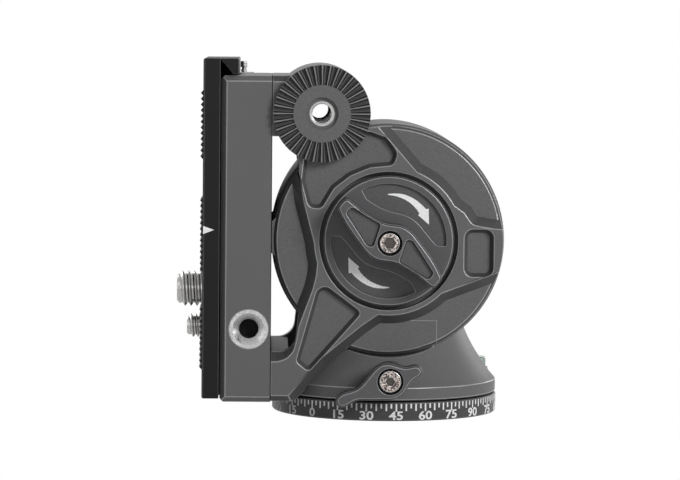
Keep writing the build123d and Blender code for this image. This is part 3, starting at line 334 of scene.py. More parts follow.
@dataclass(frozen=True)
class GlitteringSteel:
    """Cold-formed screw head whose face glitters in small facets."""

    name: str
    slot: Slot
    shade: Shade = (0.26, 0.225, 0.21)

    def make(self) -> Coat:
        """Build the node material."""
        sheet = NodeSheet(self.name)
        facets = sheet.noise(1900.0, 1.0, 0.5)
        tone = sheet.noise(2100.0, 2.0, 0.6)
        toned = sheet.blend(sheet.span(tone, 0.40, 0.62), scaled(self.shade, 0.15), scaled(self.shade, 2.4))
        sheet.finish(toned, sheet.span(facets, 0.3, 0.7, 0.16, 0.34), Metallic=1.0)
        sheet.bump(facets, 0.8, 0.16 * MM)
        return Coat(sheet.material, self.slot)


@dataclass(frozen=True)
class Rubber:
    """Moulded rubber with a dusty, open surface."""

    name: str
    slot: Slot
    shade: Shade = (0.016, 0.016, 0.016)

    def make(self) -> Coat:
        """Build the node material."""
        sheet = NodeSheet(self.name)
        pores = sheet.noise(3600.0, 3.0, 0.65)
        dust = sheet.noise(160.0, 4.0, 0.6)
        toned = sheet.blend(sheet.span(dust, 0.42, 0.75, 0.0, 0.6), self.shade, scaled(self.shade, 2.4))
        sheet.finish(toned, sheet.span(pores, 0.3, 0.7, 0.62, 0.86), Specular_IOR_Level=0.3)
        sheet.bump(pores, 0.4, 0.06 * MM)
        return Coat(sheet.material, self.slot)


@dataclass(frozen=True)
class Moulded:
    """Plastic or printed ink with a faint skin."""

    name: str
    slot: Slot
    shade: Shade
    gloss: float = 0.5

    def make(self) -> Coat:
        """Build the node material."""
        sheet = NodeSheet(self.name)
        skin = sheet.noise(2500.0, 2.0, 0.5)
        toned = sheet.blend(sheet.span(skin, 0.35, 0.65), scaled(self.shade, 0.86), self.shade)
        sheet.finish(toned, sheet.span(skin, 0.3, 0.7, self.gloss - 0.08, self.gloss + 0.08))
        sheet.bump(skin, 0.2, 0.04 * MM)
        return Coat(sheet.material, self.slot)


@dataclass(frozen=True)
class VialFluid:
    """Tinted clear vial of the bubble level."""

    name: str
    slot: Slot
    shade: Shade = (0.55, 0.74, 0.62)

    def make(self) -> Coat:
        """Build the node material."""
        sheet = NodeSheet(self.name)
        swirl = sheet.noise(240.0, 2.0, 0.5)
        toned = sheet.blend(sheet.span(swirl, 0.35, 0.7), self.shade, scaled(self.shade, 0.75))
        sheet.finish(toned, sheet.span(swirl, 0.3, 0.7, 0.04, 0.09), Transmission_Weight=0.75, IOR=1.49,
                     Coat_Weight=0.5)
        return Coat(sheet.material, self.slot)


@dataclass
class Palette:
    """Every finish of the head, made once."""

    gray: Coat = field(init=False)
    gray_painted_highlight: Coat = field(init=False)
    gray_painted_wall_shade: Coat = field(init=False)
    knob_painted_wall_shade: Coat = field(init=False)
    drum: Coat = field(init=False)
    drum_painted_highlight: Coat = field(init=False)
    hub: Coat = field(init=False)
    teeth: Coat = field(init=False)
    ring: Coat = field(init=False)
    ring_painted_highlight: Coat = field(init=False)
    shadow: Coat = field(init=False)
    dark: Coat = field(init=False)
    knob: Coat = field(init=False)
    knob_painted_highlight: Coat = field(init=False)
    plate: Coat = field(init=False)
    plate_painted_highlight: Coat = field(init=False)
    steel: Coat = field(init=False)
    thread: Coat = field(init=False)
    socket: Coat = field(init=False)
    glitter: Coat = field(init=False)
    machined: Coat = field(init=False)
    rubber: Coat = field(init=False)
    seal: Coat = field(init=False)
    polymer: Coat = field(init=False)
    ink: Coat = field(init=False)
    ring_ink: Coat = field(init=False)
    plate_ink: Coat = field(init=False)
    cup: Coat = field(init=False)
    fluid: Coat = field(init=False)

    def __post_init__(self) -> None:
        """Make the materials."""
        gray = (0.118, 0.118, 0.120)
        # lighter shade for the rounded edges: a painted highlight
        lit = (0.26, 0.26, 0.265)
        rosette = (-17.7 * MM, 79.75 * MM)
        self.gray = Anodised("titanium_gray_anodised", Slot.PLATE_GRAY, gray).make()
        self.gray_painted_highlight = Anodised("titanium_gray_painted_highlight", Slot.PLATE_GRAY, lit, 0.32, 0.25, 0.3, 0.1).make()
        self.drum = Anodised("housing_anodised", Slot.HOUSING, (0.115, 0.115, 0.117), sheen=0.1).make()
        self.drum_painted_highlight = Anodised("housing_painted_highlight", Slot.HOUSING, lit, 0.32, 0.25, 0.3, 0.1).make()
        self.hub = Anodised("rosette_hub_anodised", Slot.ROSETTE, gray).make()
        self.teeth = PaintedToothLight("rosette_teeth_painted_light_and_shade", Slot.ROSETTE, rosette).make()
        # Darker copies of the gray and knob finishes for walls and chamfers: painted shade.
        self.gray_painted_wall_shade = Anodised("titanium_gray_painted_wall_shade", Slot.PLATE_GRAY, (0.068, 0.068, 0.070), sheen=0.1).make()
        self.knob_painted_wall_shade = Anodised("knob_painted_wall_shade", Slot.KNOB, (0.045, 0.045, 0.047), sheen=0.1).make()
        self.ring = Anodised("degree_ring_anodised", Slot.RING, (0.056, 0.056, 0.058), 0.36, 0.1, 0.15).make()
        self.ring_painted_highlight = Anodised("degree_ring_painted_highlight", Slot.RING, (0.12, 0.12, 0.12), 0.32, 0.2).make()
        self.knob = Anodised("knob_anodised", Slot.KNOB, (0.092, 0.092, 0.095)).make()
        self.knob_painted_highlight = Anodised("knob_painted_highlight", Slot.KNOB, (0.22, 0.22, 0.225), 0.32, 0.25, 0.3, 0.1).make()
        self.plate = Anodised("camera_plate_black", Slot.CAMERA_PLATE, (0.014, 0.014, 0.015), sheen=0.1).make()
        self.plate_painted_highlight = Anodised("camera_plate_painted_highlight", Slot.CAMERA_PLATE, (0.07, 0.07, 0.07), 0.34).make()
        # Near black for the clamp's seam and the floor of its bore: painted shadow.
        self.shadow = Anodised("painted_shadow_gap", Slot.PLATE_GRAY, (0.006, 0.006, 0.006), sheen=0.05).make()
        # Near black for the crossbar, which stands for the deep shade between the side plates: painted shadow.
        self.dark = Anodised("crossbar_painted_shadow", Slot.PLATE_GRAY, (0.012, 0.012, 0.012), sheen=0.08).make()
        self.steel = BareSteel("bright_steel", Slot.STEEL, (0.56, 0.56, 0.56), 0.26).make()
        self.thread = BareSteel("thread_steel", Slot.STEEL, (0.46, 0.455, 0.45), 0.27, dark_share=0.7).make()
        # Dark steel for the screw sockets: painted shadow.
        self.socket = BareSteel("socket_painted_shadow", Slot.STEEL, (0.10, 0.09, 0.085), 0.30).make()
        self.glitter = GlitteringSteel("warm_screw_steel", Slot.STEEL).make()
        self.machined = BareSteel("turned_aluminium", Slot.MACHINED, (0.72, 0.72, 0.73), 0.30,
                                  Layout.ROUND_Y).make()
        self.rubber = Rubber("grip_rubber", Slot.RUBBER).make()
        self.seal = Rubber("lip_seal_rubber", Slot.SEAL, (0.04, 0.03, 0.028)).make()
        self.polymer = Moulded("bearing_polymer", Slot.POLYMER, (0.72, 0.70, 0.62)).make()
        self.ink = Moulded("white_mark_on_knob", Slot.KNOB, (0.95, 0.95, 0.95), 0.6).make()
        self.ring_ink = Moulded("white_mark_on_ring", Slot.RING, (0.74, 0.74, 0.74), 0.6).make()
        self.plate_ink = Moulded("white_mark_on_plate", Slot.CAMERA_PLATE, (0.95, 0.95, 0.95), 0.6).make()
        self.cup = BareSteel("level_cup_metal", Slot.LEVEL_METAL, (0.10, 0.10, 0.10), 0.4).make()
        self.fluid = VialFluid("clear_level_vial", Slot.LEVEL_FLUID).make()


def publish(mesh: bmesh.types.BMesh, name: str, coats: list[Coat], body: Body) -> bpy.types.Object:
    """Turn a finished bmesh into an object that rides on a body.

    Args:
        mesh: the finished bmesh, in metres in the head's frame; it is freed.
        name: the object's name.
        coats: its finishes, the main one first.
        body: the body that carries it.

    Returns:
        The new object.
    """
    data = bpy.data.meshes.new(name)
    mesh.to_mesh(data)
    mesh.free()
    for coat in coats:
        data.materials.append(coat.material)
    made = bpy.data.objects.new(name, data)
    bpy.context.scene.collection.objects.link(made)
    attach(made, body.value)
    log.info("%s rides on %s", name, body.value)
    return made


def node_mesh(node: str) -> bmesh.types.BMesh:
    """Copy a solid's mesh with its loose triangles joined up."""
    mesh = bmesh.new()
    mesh.from_mesh(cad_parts[node].data)
    bmesh.ops.remove_doubles(mesh, verts=mesh.verts, dist=WELD)
    return mesh


def shade_smooth(mesh: bmesh.types.BMesh, degrees: float) -> None:
    """Shade faces smooth and keep edges sharper than an angle."""
    for face in mesh.faces:
        face.smooth = True
    for edge in mesh.edges:
        edge.smooth = len(edge.link_faces) == 2 and edge.calc_face_angle(0.0) < math.radians(degrees)


def raise_edges(mesh: bmesh.types.BMesh, degrees: float) -> None:
    """Mark the outer edges that get rounded.

    Args:
        mesh: the solid's mesh.
        degrees: outer edges sharper than this are marked.
    """
    weight = mesh.edges.layers.float.new("bevel_weight_edge")
    for edge in mesh.edges:
        if len(edge.link_faces) == 2 and edge.calc_face_angle_signed(0.0) > math.radians(degrees):
            edge[weight] = 1.0


def refined(node: str, coats: list[Coat], body: Body, width: float,
            zone: Callable[[bpy.types.MeshPolygon], bool] | None = None,
            reshape: Callable[[bmesh.types.BMesh], None] | None = None) -> bpy.types.Object:
    """Stand in for a solid with a copy whose outer edges are rounded.

    Args:
        node: the solid's name.
        coats: finish of the faces, finish of the rounded edges, and finish of the zone; the edge finish is often a
            lighter copy of the face finish, a painted highlight, and the zone finish is often painted shade.
        body: the body that carries it.
        width: width of the rounded edge in metres.
        zone: tells which faces take the third finish.
        reshape: changes the copy before its edges are rounded.

    Returns:
        The object that stands for the solid.
    """
    mesh = node_mesh(node)
    if reshape is not None:
        reshape(mesh)
    surface = BVHTree.FromBMesh(mesh)
    shade_smooth(mesh, 32.0)
    raise_edges(mesh, 32.0)
    made = publish(mesh, node + "_form", coats, body)
    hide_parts(node)
    rounding = made.modifiers.new("edges", "BEVEL")
    rounding.limit_method = "WEIGHT"
    rounding.width = width
    rounding.segments = 2
    rounding.profile = 0.5
    rounding.harden_normals = True
    rounding.use_clamp_overlap = False
    rounding.loop_slide = False
    rounding.miter_outer = "MITER_ARC"
    # the rounded edges take the second finish, which for most pieces is a painted highlight
    rounding.material = 1
    settle(made, surface, width * 0.6)
    if zone is not None:
        for face in made.data.polygons:
            if zone(face):
                face.material_index = 2
    return made


def settle(piece: bpy.types.Object, surface: BVHTree, reach: float) -> None:
    """Fix a piece's modifiers into its mesh and pull stray corners back to the solid.

    Args:
        piece: the piece to settle.
        surface: the solid's surface.
        reach: corners further from the solid than this are pulled back to it.
    """
    depsgraph = bpy.context.evaluated_depsgraph_get()
    fixed = bpy.data.meshes.new_from_object(piece.evaluated_get(depsgraph), preserve_all_data_layers=True,
                                            depsgraph=depsgraph)
    piece.modifiers.clear()
    piece.data = fixed
    for vertex in fixed.vertices:
        nearest, _, _, distance = surface.find_nearest(vertex.co)
        if distance > reach:
            vertex.co = nearest


def unite(mesh: bmesh.types.BMesh, extra: bmesh.types.BMesh) -> None:
    """Merge a second closed solid into a mesh.

    Args:
        mesh: the mesh that takes it.
        extra: the solid to add; it is freed.
    """
    pair = []
    for name, part in (("solid", mesh), ("addition", extra)):
        data = bpy.data.meshes.new(name)
        part.to_mesh(data)
        pair.append(bpy.data.objects.new(name, data))
        bpy.context.scene.collection.objects.link(pair[-1])
    extra.free()
    joining = pair[0].modifiers.new("union", "BOOLEAN")
    joining.operation = "UNION"
    joining.solver = "EXACT"
    joining.object = pair[1]
    depsgraph = bpy.context.evaluated_depsgraph_get()
    joined = bpy.data.meshes.new_from_object(pair[0].evaluated_get(depsgraph), depsgraph=depsgraph)
    for spare in pair:
        bpy.data.objects.remove(spare)
    mesh.clear()
    mesh.from_mesh(joined)
    bmesh.ops.remove_doubles(mesh, verts=mesh.verts, dist=WELD)


def shaded_side_wall(face: bpy.types.MeshPolygon) -> bool:
    """Tell whether a face is a wall or a chamfer, which takes a darker copy of the finish as painted shade."""
    return face.material_index == 0 and abs(face.normal.y) < 0.9


def dress(node: str, coat: Coat) -> None:
    """Give a solid its finish."""
    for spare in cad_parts[node].material_slots:
        spare.material = coat.material


def mark_slab(mesh: bmesh.types.BMesh, outline: list[tuple[float, float]], face_y: float, proud: float) -> None:
    """Add a thin raised mark on a face that looks along -Y.

    Args:
        mesh: the bmesh that takes it.
        outline: its corners as x and z in millimetres.
        face_y: the face it lies on, in metres.
        proud: how far it stands out of that face, and half as deep as it is sunk.
    """
    corners = [mesh.verts.new((x * MM, face_y + proud * 2, z * MM)) for x, z in outline]
    flat = mesh.faces.new(corners)
    grown = bmesh.ops.extrude_face_region(mesh, geom=[flat])
    moved = [item for item in grown["geom"] if isinstance(item, bmesh.types.BMVert)]
    bmesh.ops.translate(mesh, verts=moved, vec=(0.0, -proud * 3, 0.0))
    bmesh.ops.recalc_face_normals(mesh, faces=mesh.faces)


@dataclass(frozen=True)
class Thread:
    """A screw thread: its largest and smallest radius and its pitch."""

    crest: float
    root: float
    pitch: float
    steps: int = 32

    def strip(self, mesh: bmesh.types.BMesh, length: float, inward: bool = False) -> None:
        """Wind the thread's surface along +Z from zero to a length.

        Args:
            mesh: the bmesh that takes it.
            length: length of the thread.
            inward: whether it is the thread of a bore.
        """
        low, high = (self.crest, self.root) if inward else (self.root, self.crest)
        shares = ((low, 0.0), (low, 0.12), (high, 0.44), (high, 0.56), (low, 0.88), (low, 1.0))
        spots = [mesh.verts.new((radius, 0.0, (share - 1.0) * self.pitch)) for radius, share in shares]
        profile = [mesh.edges.new(pair) for pair in zip(spots, spots[1:])]
        turns = math.ceil(length / self.pitch) + 2
        bmesh.ops.spin(mesh, geom=spots + profile, cent=(0.0, 0.0, 0.0), axis=(0.0, 0.0, 1.0),
                       dvec=(0.0, 0.0, self.pitch / self.steps), angle=math.tau * turns,
                       steps=self.steps * turns, use_merge=False, use_duplicate=False)
        bmesh.ops.remove_doubles(mesh, verts=mesh.verts, dist=WELD)
        for height, lower in ((0.0, True), (length, False)):
            bmesh.ops.bisect_plane(mesh, geom=mesh.verts[:] + mesh.edges[:] + mesh.faces[:], dist=WELD / 10,
                                   plane_co=(0.0, 0.0, height), plane_no=(0.0, 0.0, 1.0),
                                   clear_inner=lower, clear_outer=not lower)

    def rod(self, length: float, cone: float) -> bmesh.types.BMesh:
        """Closed threaded rod along +Z with a cone at its tip.

        Args:
            length: length of the rod.
            cone: length of the cone at the tip.

        Returns:
            The rod's mesh.
        """
        mesh = bmesh.new()
        self.strip(mesh, length)
        bmesh.ops.holes_fill(mesh, edges=[edge for edge in mesh.edges if edge.is_boundary], sides=0)
        for vertex in mesh.verts:
            limit = self.root - cone * 0.6 + (length - vertex.co.z)
            radius = math.hypot(vertex.co.x, vertex.co.y)
            if radius > limit:
                vertex.co.x *= limit / radius
                vertex.co.y *= limit / radius
        bmesh.ops.recalc_face_normals(mesh, faces=mesh.faces)
        return mesh

    def tube(self, outer: float, length: float) -> bmesh.types.BMesh:
        """Closed bush along +Z with this thread in its bore.

        Args:
            outer: the bush's outer radius.
            length: length of the bush.

        Returns:
            The bush's mesh.
        """
        mesh = bmesh.new()
        self.strip(mesh, length, inward=True)
        ring = bmesh.ops.create_circle(mesh, cap_ends=False, segments=self.steps * 2, radius=outer)["verts"]
        rim = list({edge for vertex in ring for edge in vertex.link_edges})
        grown = bmesh.ops.extrude_edge_only(mesh, edges=rim)
        lifted = [item for item in grown["geom"] if isinstance(item, bmesh.types.BMVert)]
        bmesh.ops.translate(mesh, verts=lifted, vec=(0.0, 0.0, length))
        for height in (0.0, length):
            level = [edge for edge in mesh.edges if edge.is_boundary
                     and abs(edge.verts[0].co.z - height) < WELD and abs(edge.verts[1].co.z - height) < WELD]
            bmesh.ops.triangle_fill(mesh, use_beauty=True, use_dissolve=False, edges=level)
        bmesh.ops.recalc_face_normals(mesh, faces=mesh.faces)
        return mesh


@dataclass
class Studio:
    """Camera, floor and lamps."""

    focal_px: float = 3295.35
    frame_px: float = 680.0
    sensor: float = 36.0
    place: Shade = (-32.1764 * MM, -881.96 * MM, 103.0036 * MM)
    yaw: float = 0.0227
    pitch: float = 0.0654
    roll: float = 0.0093
    floor_radius: float = 2.5
    surround: float = 0.06

    def camera(self) -> None:
        """Set up the camera at the photograph's place."""
        ahead = Vector((math.sin(self.yaw) * math.cos(self.pitch),
                        math.cos(self.yaw) * math.cos(self.pitch), -math.sin(self.pitch)))
        right = Vector((math.cos(self.yaw), -math.sin(self.yaw), 0.0))
        above = right.cross(ahead)
        turned_right = math.cos(self.roll) * right + math.sin(self.roll) * above
        turned_up = -math.sin(self.roll) * right + math.cos(self.roll) * above
        data = bpy.data.cameras.new("camera")
        data.sensor_width = self.sensor
        data.lens = self.focal_px / self.frame_px * self.sensor
        data.clip_end = 20.0
        made = bpy.data.objects.new("camera", data)
        turn = Matrix((turned_right, turned_up, -ahead)).transposed().to_4x4()
        made.matrix_world = Matrix.Translation(Vector(self.place)) @ turn
        bpy.context.scene.collection.objects.link(made)
        bpy.context.scene.camera = made

    def seen_or_mirrored(self, tree: bpy.types.NodeTree) -> bpy.types.NodeSocket:
        """Light Path factor that is 1 for camera, glossy and transmission rays."""
        path = tree.nodes.new("ShaderNodeLightPath")
        factor = path.outputs["Is Camera Ray"]
        for name in ("Is Glossy Ray", "Is Transmission Ray"):
            either = tree.nodes.new("ShaderNodeMath")
            either.operation = "MAXIMUM"
            tree.links.new(factor, either.inputs[0])
            tree.links.new(path.outputs[name], either.inputs[1])
            factor = either.outputs[0]
        return factor

    def backdrop_finish(self) -> bpy.types.Material:
        """Pale floor finish that the camera and reflections see as white."""
        sheet = NodeSheet("white_backdrop")
        tone = sheet.noise(2.0, 1.0, 0.4)
        sheet.finish(sheet.blend(sheet.span(tone, 0.3, 0.7), (0.80, 0.80, 0.80), (0.83, 0.83, 0.83)),
                     sheet.span(tone, 0.3, 0.7, 0.88, 0.92))
        glow = sheet.node("Emission", Color=(1.0, 1.0, 1.0, 1.0), Strength=1.0)
        mix = sheet.node("MixShader", Fac=self.seen_or_mirrored(sheet.tree))
        sheet.feed(mix, 1, sheet.shader.outputs[0])
        sheet.feed(mix, 2, glow.outputs[0])
        sheet.tree.links.new(mix.outputs[0], sheet.output.inputs[0])
        return sheet.material

    def floor(self) -> None:
        """Lay the pale floor under the head."""
        mesh = bmesh.new()
        bmesh.ops.create_circle(mesh, cap_ends=True, cap_tris=False, segments=64, radius=self.floor_radius)
        data = bpy.data.meshes.new("floor")
        mesh.to_mesh(data)
        mesh.free()
        data.materials.append(self.backdrop_finish())
        made = bpy.data.objects.new("floor", data)
        bpy.context.scene.collection.objects.link(made)

    def lamp(self, name: str, place: Shade, size: float, watts: float, height: float | None = None) -> None:
        """Hang one soft lamp that faces the middle of the head.

        Args:
            name: the lamp's name.
            place: its centre in metres.
            size: its width in metres.
            watts: its power.
            height: its height in metres, if it isn't square.
        """
        data = bpy.data.lights.new(name, "AREA")
        data.shape = "RECTANGLE"
        data.size = size
        data.size_y = height or size
        data.energy = watts
        made = bpy.data.objects.new(name, data)
        made.location = place
        aim = Vector((0.0, 0.0, TILT_HEIGHT)) - Vector(place)
        made.rotation_euler = aim.to_track_quat("-Z", "Y").to_euler()
        bpy.context.scene.collection.objects.link(made)

    def light(self) -> None:
        """Hang the studio's lamps and set the surrounding light."""
        self.lamp("key", (0.68, -0.84, 0.52), 0.36, 9.8)
        self.lamp("fill", (-0.20, -1.10, 0.30), 0.40, 0.8)
        self.lamp("left", (-0.80, -0.15, 0.30), 0.20, 0.6, 0.7)
        self.lamp("right", (0.85, -0.15, 0.20), 0.20, 1.5, 0.7)
        self.lamp("top", (0.15, 0.25, 0.85), 0.30, 0.6)
        self.lamp("back", (-0.65, 0.85, 0.25), 0.40, 2.2)
        self.lamp("back_right", (0.75, 0.80, 0.25), 0.40, 2.0)
        world = bpy.data.worlds.new("surroundings")
        bpy.context.scene.world = world
        world.use_nodes = True
        tree = world.node_tree
        tree.nodes.clear()
        output = tree.nodes.new("ShaderNodeOutputWorld")
        plain = tree.nodes.new("ShaderNodeBackground")
        white = tree.nodes.new("ShaderNodeBackground")
        plain.inputs["Color"].default_value = (1.0, 1.0, 1.0, 1.0)
        plain.inputs["Strength"].default_value = self.surround
        white.inputs["Color"].default_value = (1.0, 1.0, 1.0, 1.0)
        mix = tree.nodes.new("ShaderNodeMixShader")
        tree.links.new(self.seen_or_mirrored(tree), mix.inputs[0])
        tree.links.new(plain.outputs[0], mix.inputs[1])
        tree.links.new(white.outputs[0], mix.inputs[2])
        tree.links.new(mix.outputs[0], output.inputs[0])

    def build(self) -> None:
        """Set up the whole studio."""
        self.camera()
        self.floor()
        self.light()
        bpy.context.scene.view_settings.view_transform = "Standard"


@dataclass
class DegreeRing:
    """Ring of the base with its printed degree scale."""

    palette: Palette
    radius: float = 30.0 * MM
    top: float = 4.55 * MM
    baseline: float = 0.42 * MM
    digit_height: float = 2.2 * MM
    tick_width: float = 0.42 * MM
    short_tick: float = 1.2 * MM
    middle_tick: float = 1.85 * MM
    long_tick: float = 2.0 * MM
    proud: float = 0.02 * MM
    zero_mark: float = -40.7
    stretch: float = 1.25
    tick_angle: float = 2.5
    numbered: int = 6

    def ticks(self) -> bpy.types.Object:
        """Lay the ticks round the ring."""
        mesh = bmesh.new()
        for count in range(round(360.0 / self.tick_angle)):
            length = self.short_tick
            if count % self.numbered == 0:
                length = self.long_tick
            elif count % 2 == 0:
                length = self.middle_tick
            turn = Matrix.Rotation(math.radians(self.zero_mark + count * self.tick_angle), 4, "Z")
            lift = Matrix.Translation((0.0, -self.radius + self.proud, self.top - length / 2))
            size = Matrix.Diagonal((self.tick_width, self.proud * 4, length, 1.0))
            bmesh.ops.create_cube(mesh, size=1.0, matrix=turn @ lift @ size)
        return publish(mesh, "degree_ticks", [self.palette.ring_ink], Body.TRIPOD)

    def numerals(self) -> bpy.types.Object:
        """Print the numbers: up from zero to ninety and down again, twice round."""
        mesh = bmesh.new()
        step = self.tick_angle * self.numbered
        half = round(180.0 / step)
        for count in range(half * 2):
            number = round(step * min(count % half, half - count % half))
            self.wrap(mesh, str(number), math.radians(self.zero_mark + count * step))
        bmesh.ops.remove_doubles(mesh, verts=mesh.verts, dist=WELD / 4)
        bmesh.ops.recalc_face_normals(mesh, faces=mesh.faces)
        return publish(mesh, "degree_numerals", [self.palette.ring_ink], Body.TRIPOD)

    def wrap(self, mesh: bmesh.types.BMesh, words: str, angle: float) -> None:
        """Bend one number round the ring.

        Args:
            mesh: the bmesh that takes it.
            words: the number.
            angle: its place round the ring, counted from the front.
        """
        curve = bpy.data.curves.new("numeral", "FONT")
        curve.body = words
        curve.align_x = "CENTER"
        curve.size = self.digit_height * 1.4
        curve.offset = self.digit_height * 0.03
        curve.extrude = self.proud * 2
        curve.resolution_u = 3
        flat = bpy.data.objects.new("numeral", curve)
        bpy.context.scene.collection.objects.link(flat)
        data = bpy.data.meshes.new_from_object(flat)
        bpy.data.objects.remove(flat)
        for vertex in data.vertices:
            across, up, out = vertex.co
            turn = angle + across * self.stretch / self.radius
            reach = self.radius + out - self.proud
            vertex.co = (reach * math.sin(turn), -reach * math.cos(turn), self.baseline + up)
        mesh.from_mesh(data)

    def build(self) -> None:
        """Round the ring and print its scale."""
        refined("scale_ring", [self.palette.ring, self.palette.ring_painted_highlight], Body.TRIPOD, 0.08 * MM)
        self.ticks()
        self.numerals()


@dataclass
class PanHousing:
    """Cone and drum that turn on the base, with the pan lock and the bubble level."""

    palette: Palette
    casting_edge: float = 0.15 * MM
    lever_edge: float = 0.15 * MM

    def build(self) -> None:
        """Round the castings."""
        shades = self.palette
        refined("main_body", [shades.drum, shades.drum_painted_highlight], Body.PAN, self.casting_edge)
        refined("pan_lock_lever", [shades.knob, shades.knob_painted_highlight, shades.knob_painted_wall_shade], Body.PAN_LOCK,
                self.lever_edge, shaded_side_wall)


@dataclass
class Platform:
    """Side plates, bridge, crossbar and rosettes that tilt with the camera."""

    palette: Palette
    edge: float = 0.18 * MM
    tooth_edge: float = 0.05 * MM
    disc_radius: float = 30.0 * MM
    disc_inner: float = 19.6 * MM
    disc_outer: float = 22.2 * MM
    disc_edge: float = 0.8 * MM
    foot_top: float = 25.6 * MM
    foot_half: float = 13.0 * MM
    rosette_place:tuple[float, float] = (-17.7 * MM, 79.75 * MM)
    tooth_start: float = 7.4 * MM
    tooth_end: float = 12.6 * MM
    rosette_teeth: int = 36
    bush_outer: float = 3.25 * MM
    bush_length: float = 6.5 * MM
    bush_face: float = 26.1 * MM
    bush_thread: Thread = Thread(3.0 * MM, 2.5 * MM, 1.0 * MM)

    def toothed(self, face: bpy.types.MeshPolygon) -> bool:
        """Tell whether a rosette's face belongs to its teeth."""
        middle = face.center
        reach = math.hypot(middle.x - self.rosette_place[0], middle.z - self.rosette_place[1])
        return self.tooth_start < reach < self.tooth_end and abs(middle.y) > self.bush_face - 0.8 * MM

    def crest_up(self, mesh: bmesh.types.BMesh) -> None:
        """Turn a rosette by half a tooth, so that a crest stands at the top as in the photograph."""
        centre = (self.rosette_place[0], 0.0, self.rosette_place[1])
        turn = Matrix.Rotation(math.pi / self.rosette_teeth, 3, "Y")
        bmesh.ops.rotate(mesh, verts=mesh.verts, cent=centre, matrix=turn)

    def close_foot(self, mesh: bmesh.types.BMesh) -> None:
        """Close the arch that the relief for the cone leaves in the foot of a side plate's disc."""
        side = math.copysign(1.0, next(iter(mesh.verts)).co.y)
        depth = self.disc_outer - self.disc_inner
        foot = bmesh.new()
        bmesh.ops.create_cone(foot, cap_ends=True, cap_tris=False, segments=180, radius1=self.disc_radius,
                              radius2=self.disc_radius, depth=depth)
        rim = [edge for edge in foot.edges if all(vertex.co.z > 0.0 for vertex in edge.verts)]
        bmesh.ops.bevel(foot, geom=rim, offset=self.disc_edge, affect="EDGES", segments=1, profile=0.5, material=-1)
        turn = Matrix.Rotation(-side * math.pi / 2, 3, "X")
        bmesh.ops.rotate(foot, verts=foot.verts, cent=(0.0, 0.0, 0.0), matrix=turn)
        middle = (self.disc_outer + self.disc_inner) / 2
        bmesh.ops.translate(foot, verts=foot.verts, vec=(0.0, side * middle, TILT_HEIGHT))
        for place, way in (((0.0, 0.0, self.foot_top), (0.0, 0.0, 1.0)),
                           ((self.foot_half, 0.0, 0.0), (1.0, 0.0, 0.0)),
                           ((-self.foot_half, 0.0, 0.0), (-1.0, 0.0, 0.0))):
            bmesh.ops.bisect_plane(foot, geom=foot.verts[:] + foot.edges[:] + foot.faces[:], dist=WELD / 10,
                                   plane_co=place, plane_no=way, clear_outer=True, clear_inner=False)
            bmesh.ops.holes_fill(foot, edges=[edge for edge in foot.edges if edge.is_boundary], sides=0)
        bmesh.ops.recalc_face_normals(foot, faces=foot.faces)
        unite(mesh, foot)

    def bushes(self) -> bpy.types.Object:
        """Cut threads into the two steel bushes of the rosettes."""
        mesh = bmesh.new()
        for side in (-1.0, 1.0):
            bush = self.bush_thread.tube(self.bush_outer, self.bush_length)
            turn = Matrix.Rotation(-side * math.pi / 2, 3, "X")
            bmesh.ops.rotate(bush, verts=bush.verts, cent=(0.0, 0.0, 0.0), matrix=turn)
            place = (self.rosette_place[0], side * (self.bush_face - self.bush_length), self.rosette_place[1])
            bmesh.ops.translate(bush, verts=bush.verts, vec=place)
            data = bpy.data.meshes.new("bush")
            bush.to_mesh(data)
            bush.free()
            mesh.from_mesh(data)
        shade_smooth(mesh, 28.0)
        made = publish(mesh, "rosette_bushes_threaded", [self.palette.thread], Body.PLATFORM)
        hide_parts("rosette_inserts")
        return made

    def build(self) -> None:
        """Round the plates and toothed rosettes."""
        shades = self.palette
        for node in ("near_side_plate", "far_side_plate"):
            # walls and chamfers of the side plates take painted shade
            refined(node, [shades.gray, shades.gray_painted_highlight, shades.gray_painted_wall_shade], Body.PLATFORM, self.edge, shaded_side_wall,
                    self.close_foot)
        for node in ("upper_bridge", "far_hub_cap"):
            refined(node, [shades.gray, shades.gray_painted_highlight], Body.PLATFORM, self.edge)
        # the crossbar takes painted shadow all over
        refined("lower_crossbar", [shades.dark, shades.dark], Body.PLATFORM, self.edge)
        for node in ("near_rosette", "far_rosette"):
            refined(node, [shades.hub, shades.hub, shades.teeth], Body.PLATFORM, self.tooth_edge, self.toothed,
                    self.crest_up)
        self.bushes()


@dataclass
class TiltKnob:
    """Knob of the tilt lock with its two printed arrows."""

    palette: Palette
    edge: float = 0.15 * MM
    recess_face: float = -24.3 * MM
    proud: float = 0.03 * MM
    arrow: tuple[tuple[float, float], ...] = (
        (-0.40, 12.29), (1.27, 12.45), (2.78, 12.38), (4.06, 12.17), (5.45, 11.64), (6.84, 10.89), (8.0, 10.01),
        (9.05, 9.08), (9.68, 8.39), (10.37, 8.57), (10.49, 4.35), (7.61, 6.83), (7.96, 7.27), (7.31, 8.22),
        (6.38, 9.27), (5.33, 10.15), (4.29, 10.78), (3.13, 11.31), (1.97, 11.71), (0.81, 11.94), (-0.20, 12.05))

    def arrows(self) -> bpy.types.Object:
        """Print both arrows, the second as a half turn of the first."""
        mesh = bmesh.new()
        height = TILT_HEIGHT / MM
        for way in (1.0, -1.0):
            outline = [(way * x, height + way * z) for x, z in self.arrow]
            mark_slab(mesh, outline, self.recess_face, self.proud)
        return publish(mesh, "knob_arrows", [self.palette.ink], Body.TILT_LOCK)

    def build(self) -> None:
        """Round the knob and print its arrows."""
        shades = self.palette
        refined("tilt_knob", [shades.knob, shades.knob_painted_highlight, shades.knob_painted_wall_shade], Body.TILT_LOCK, self.edge, shaded_side_wall)
        self.arrows()


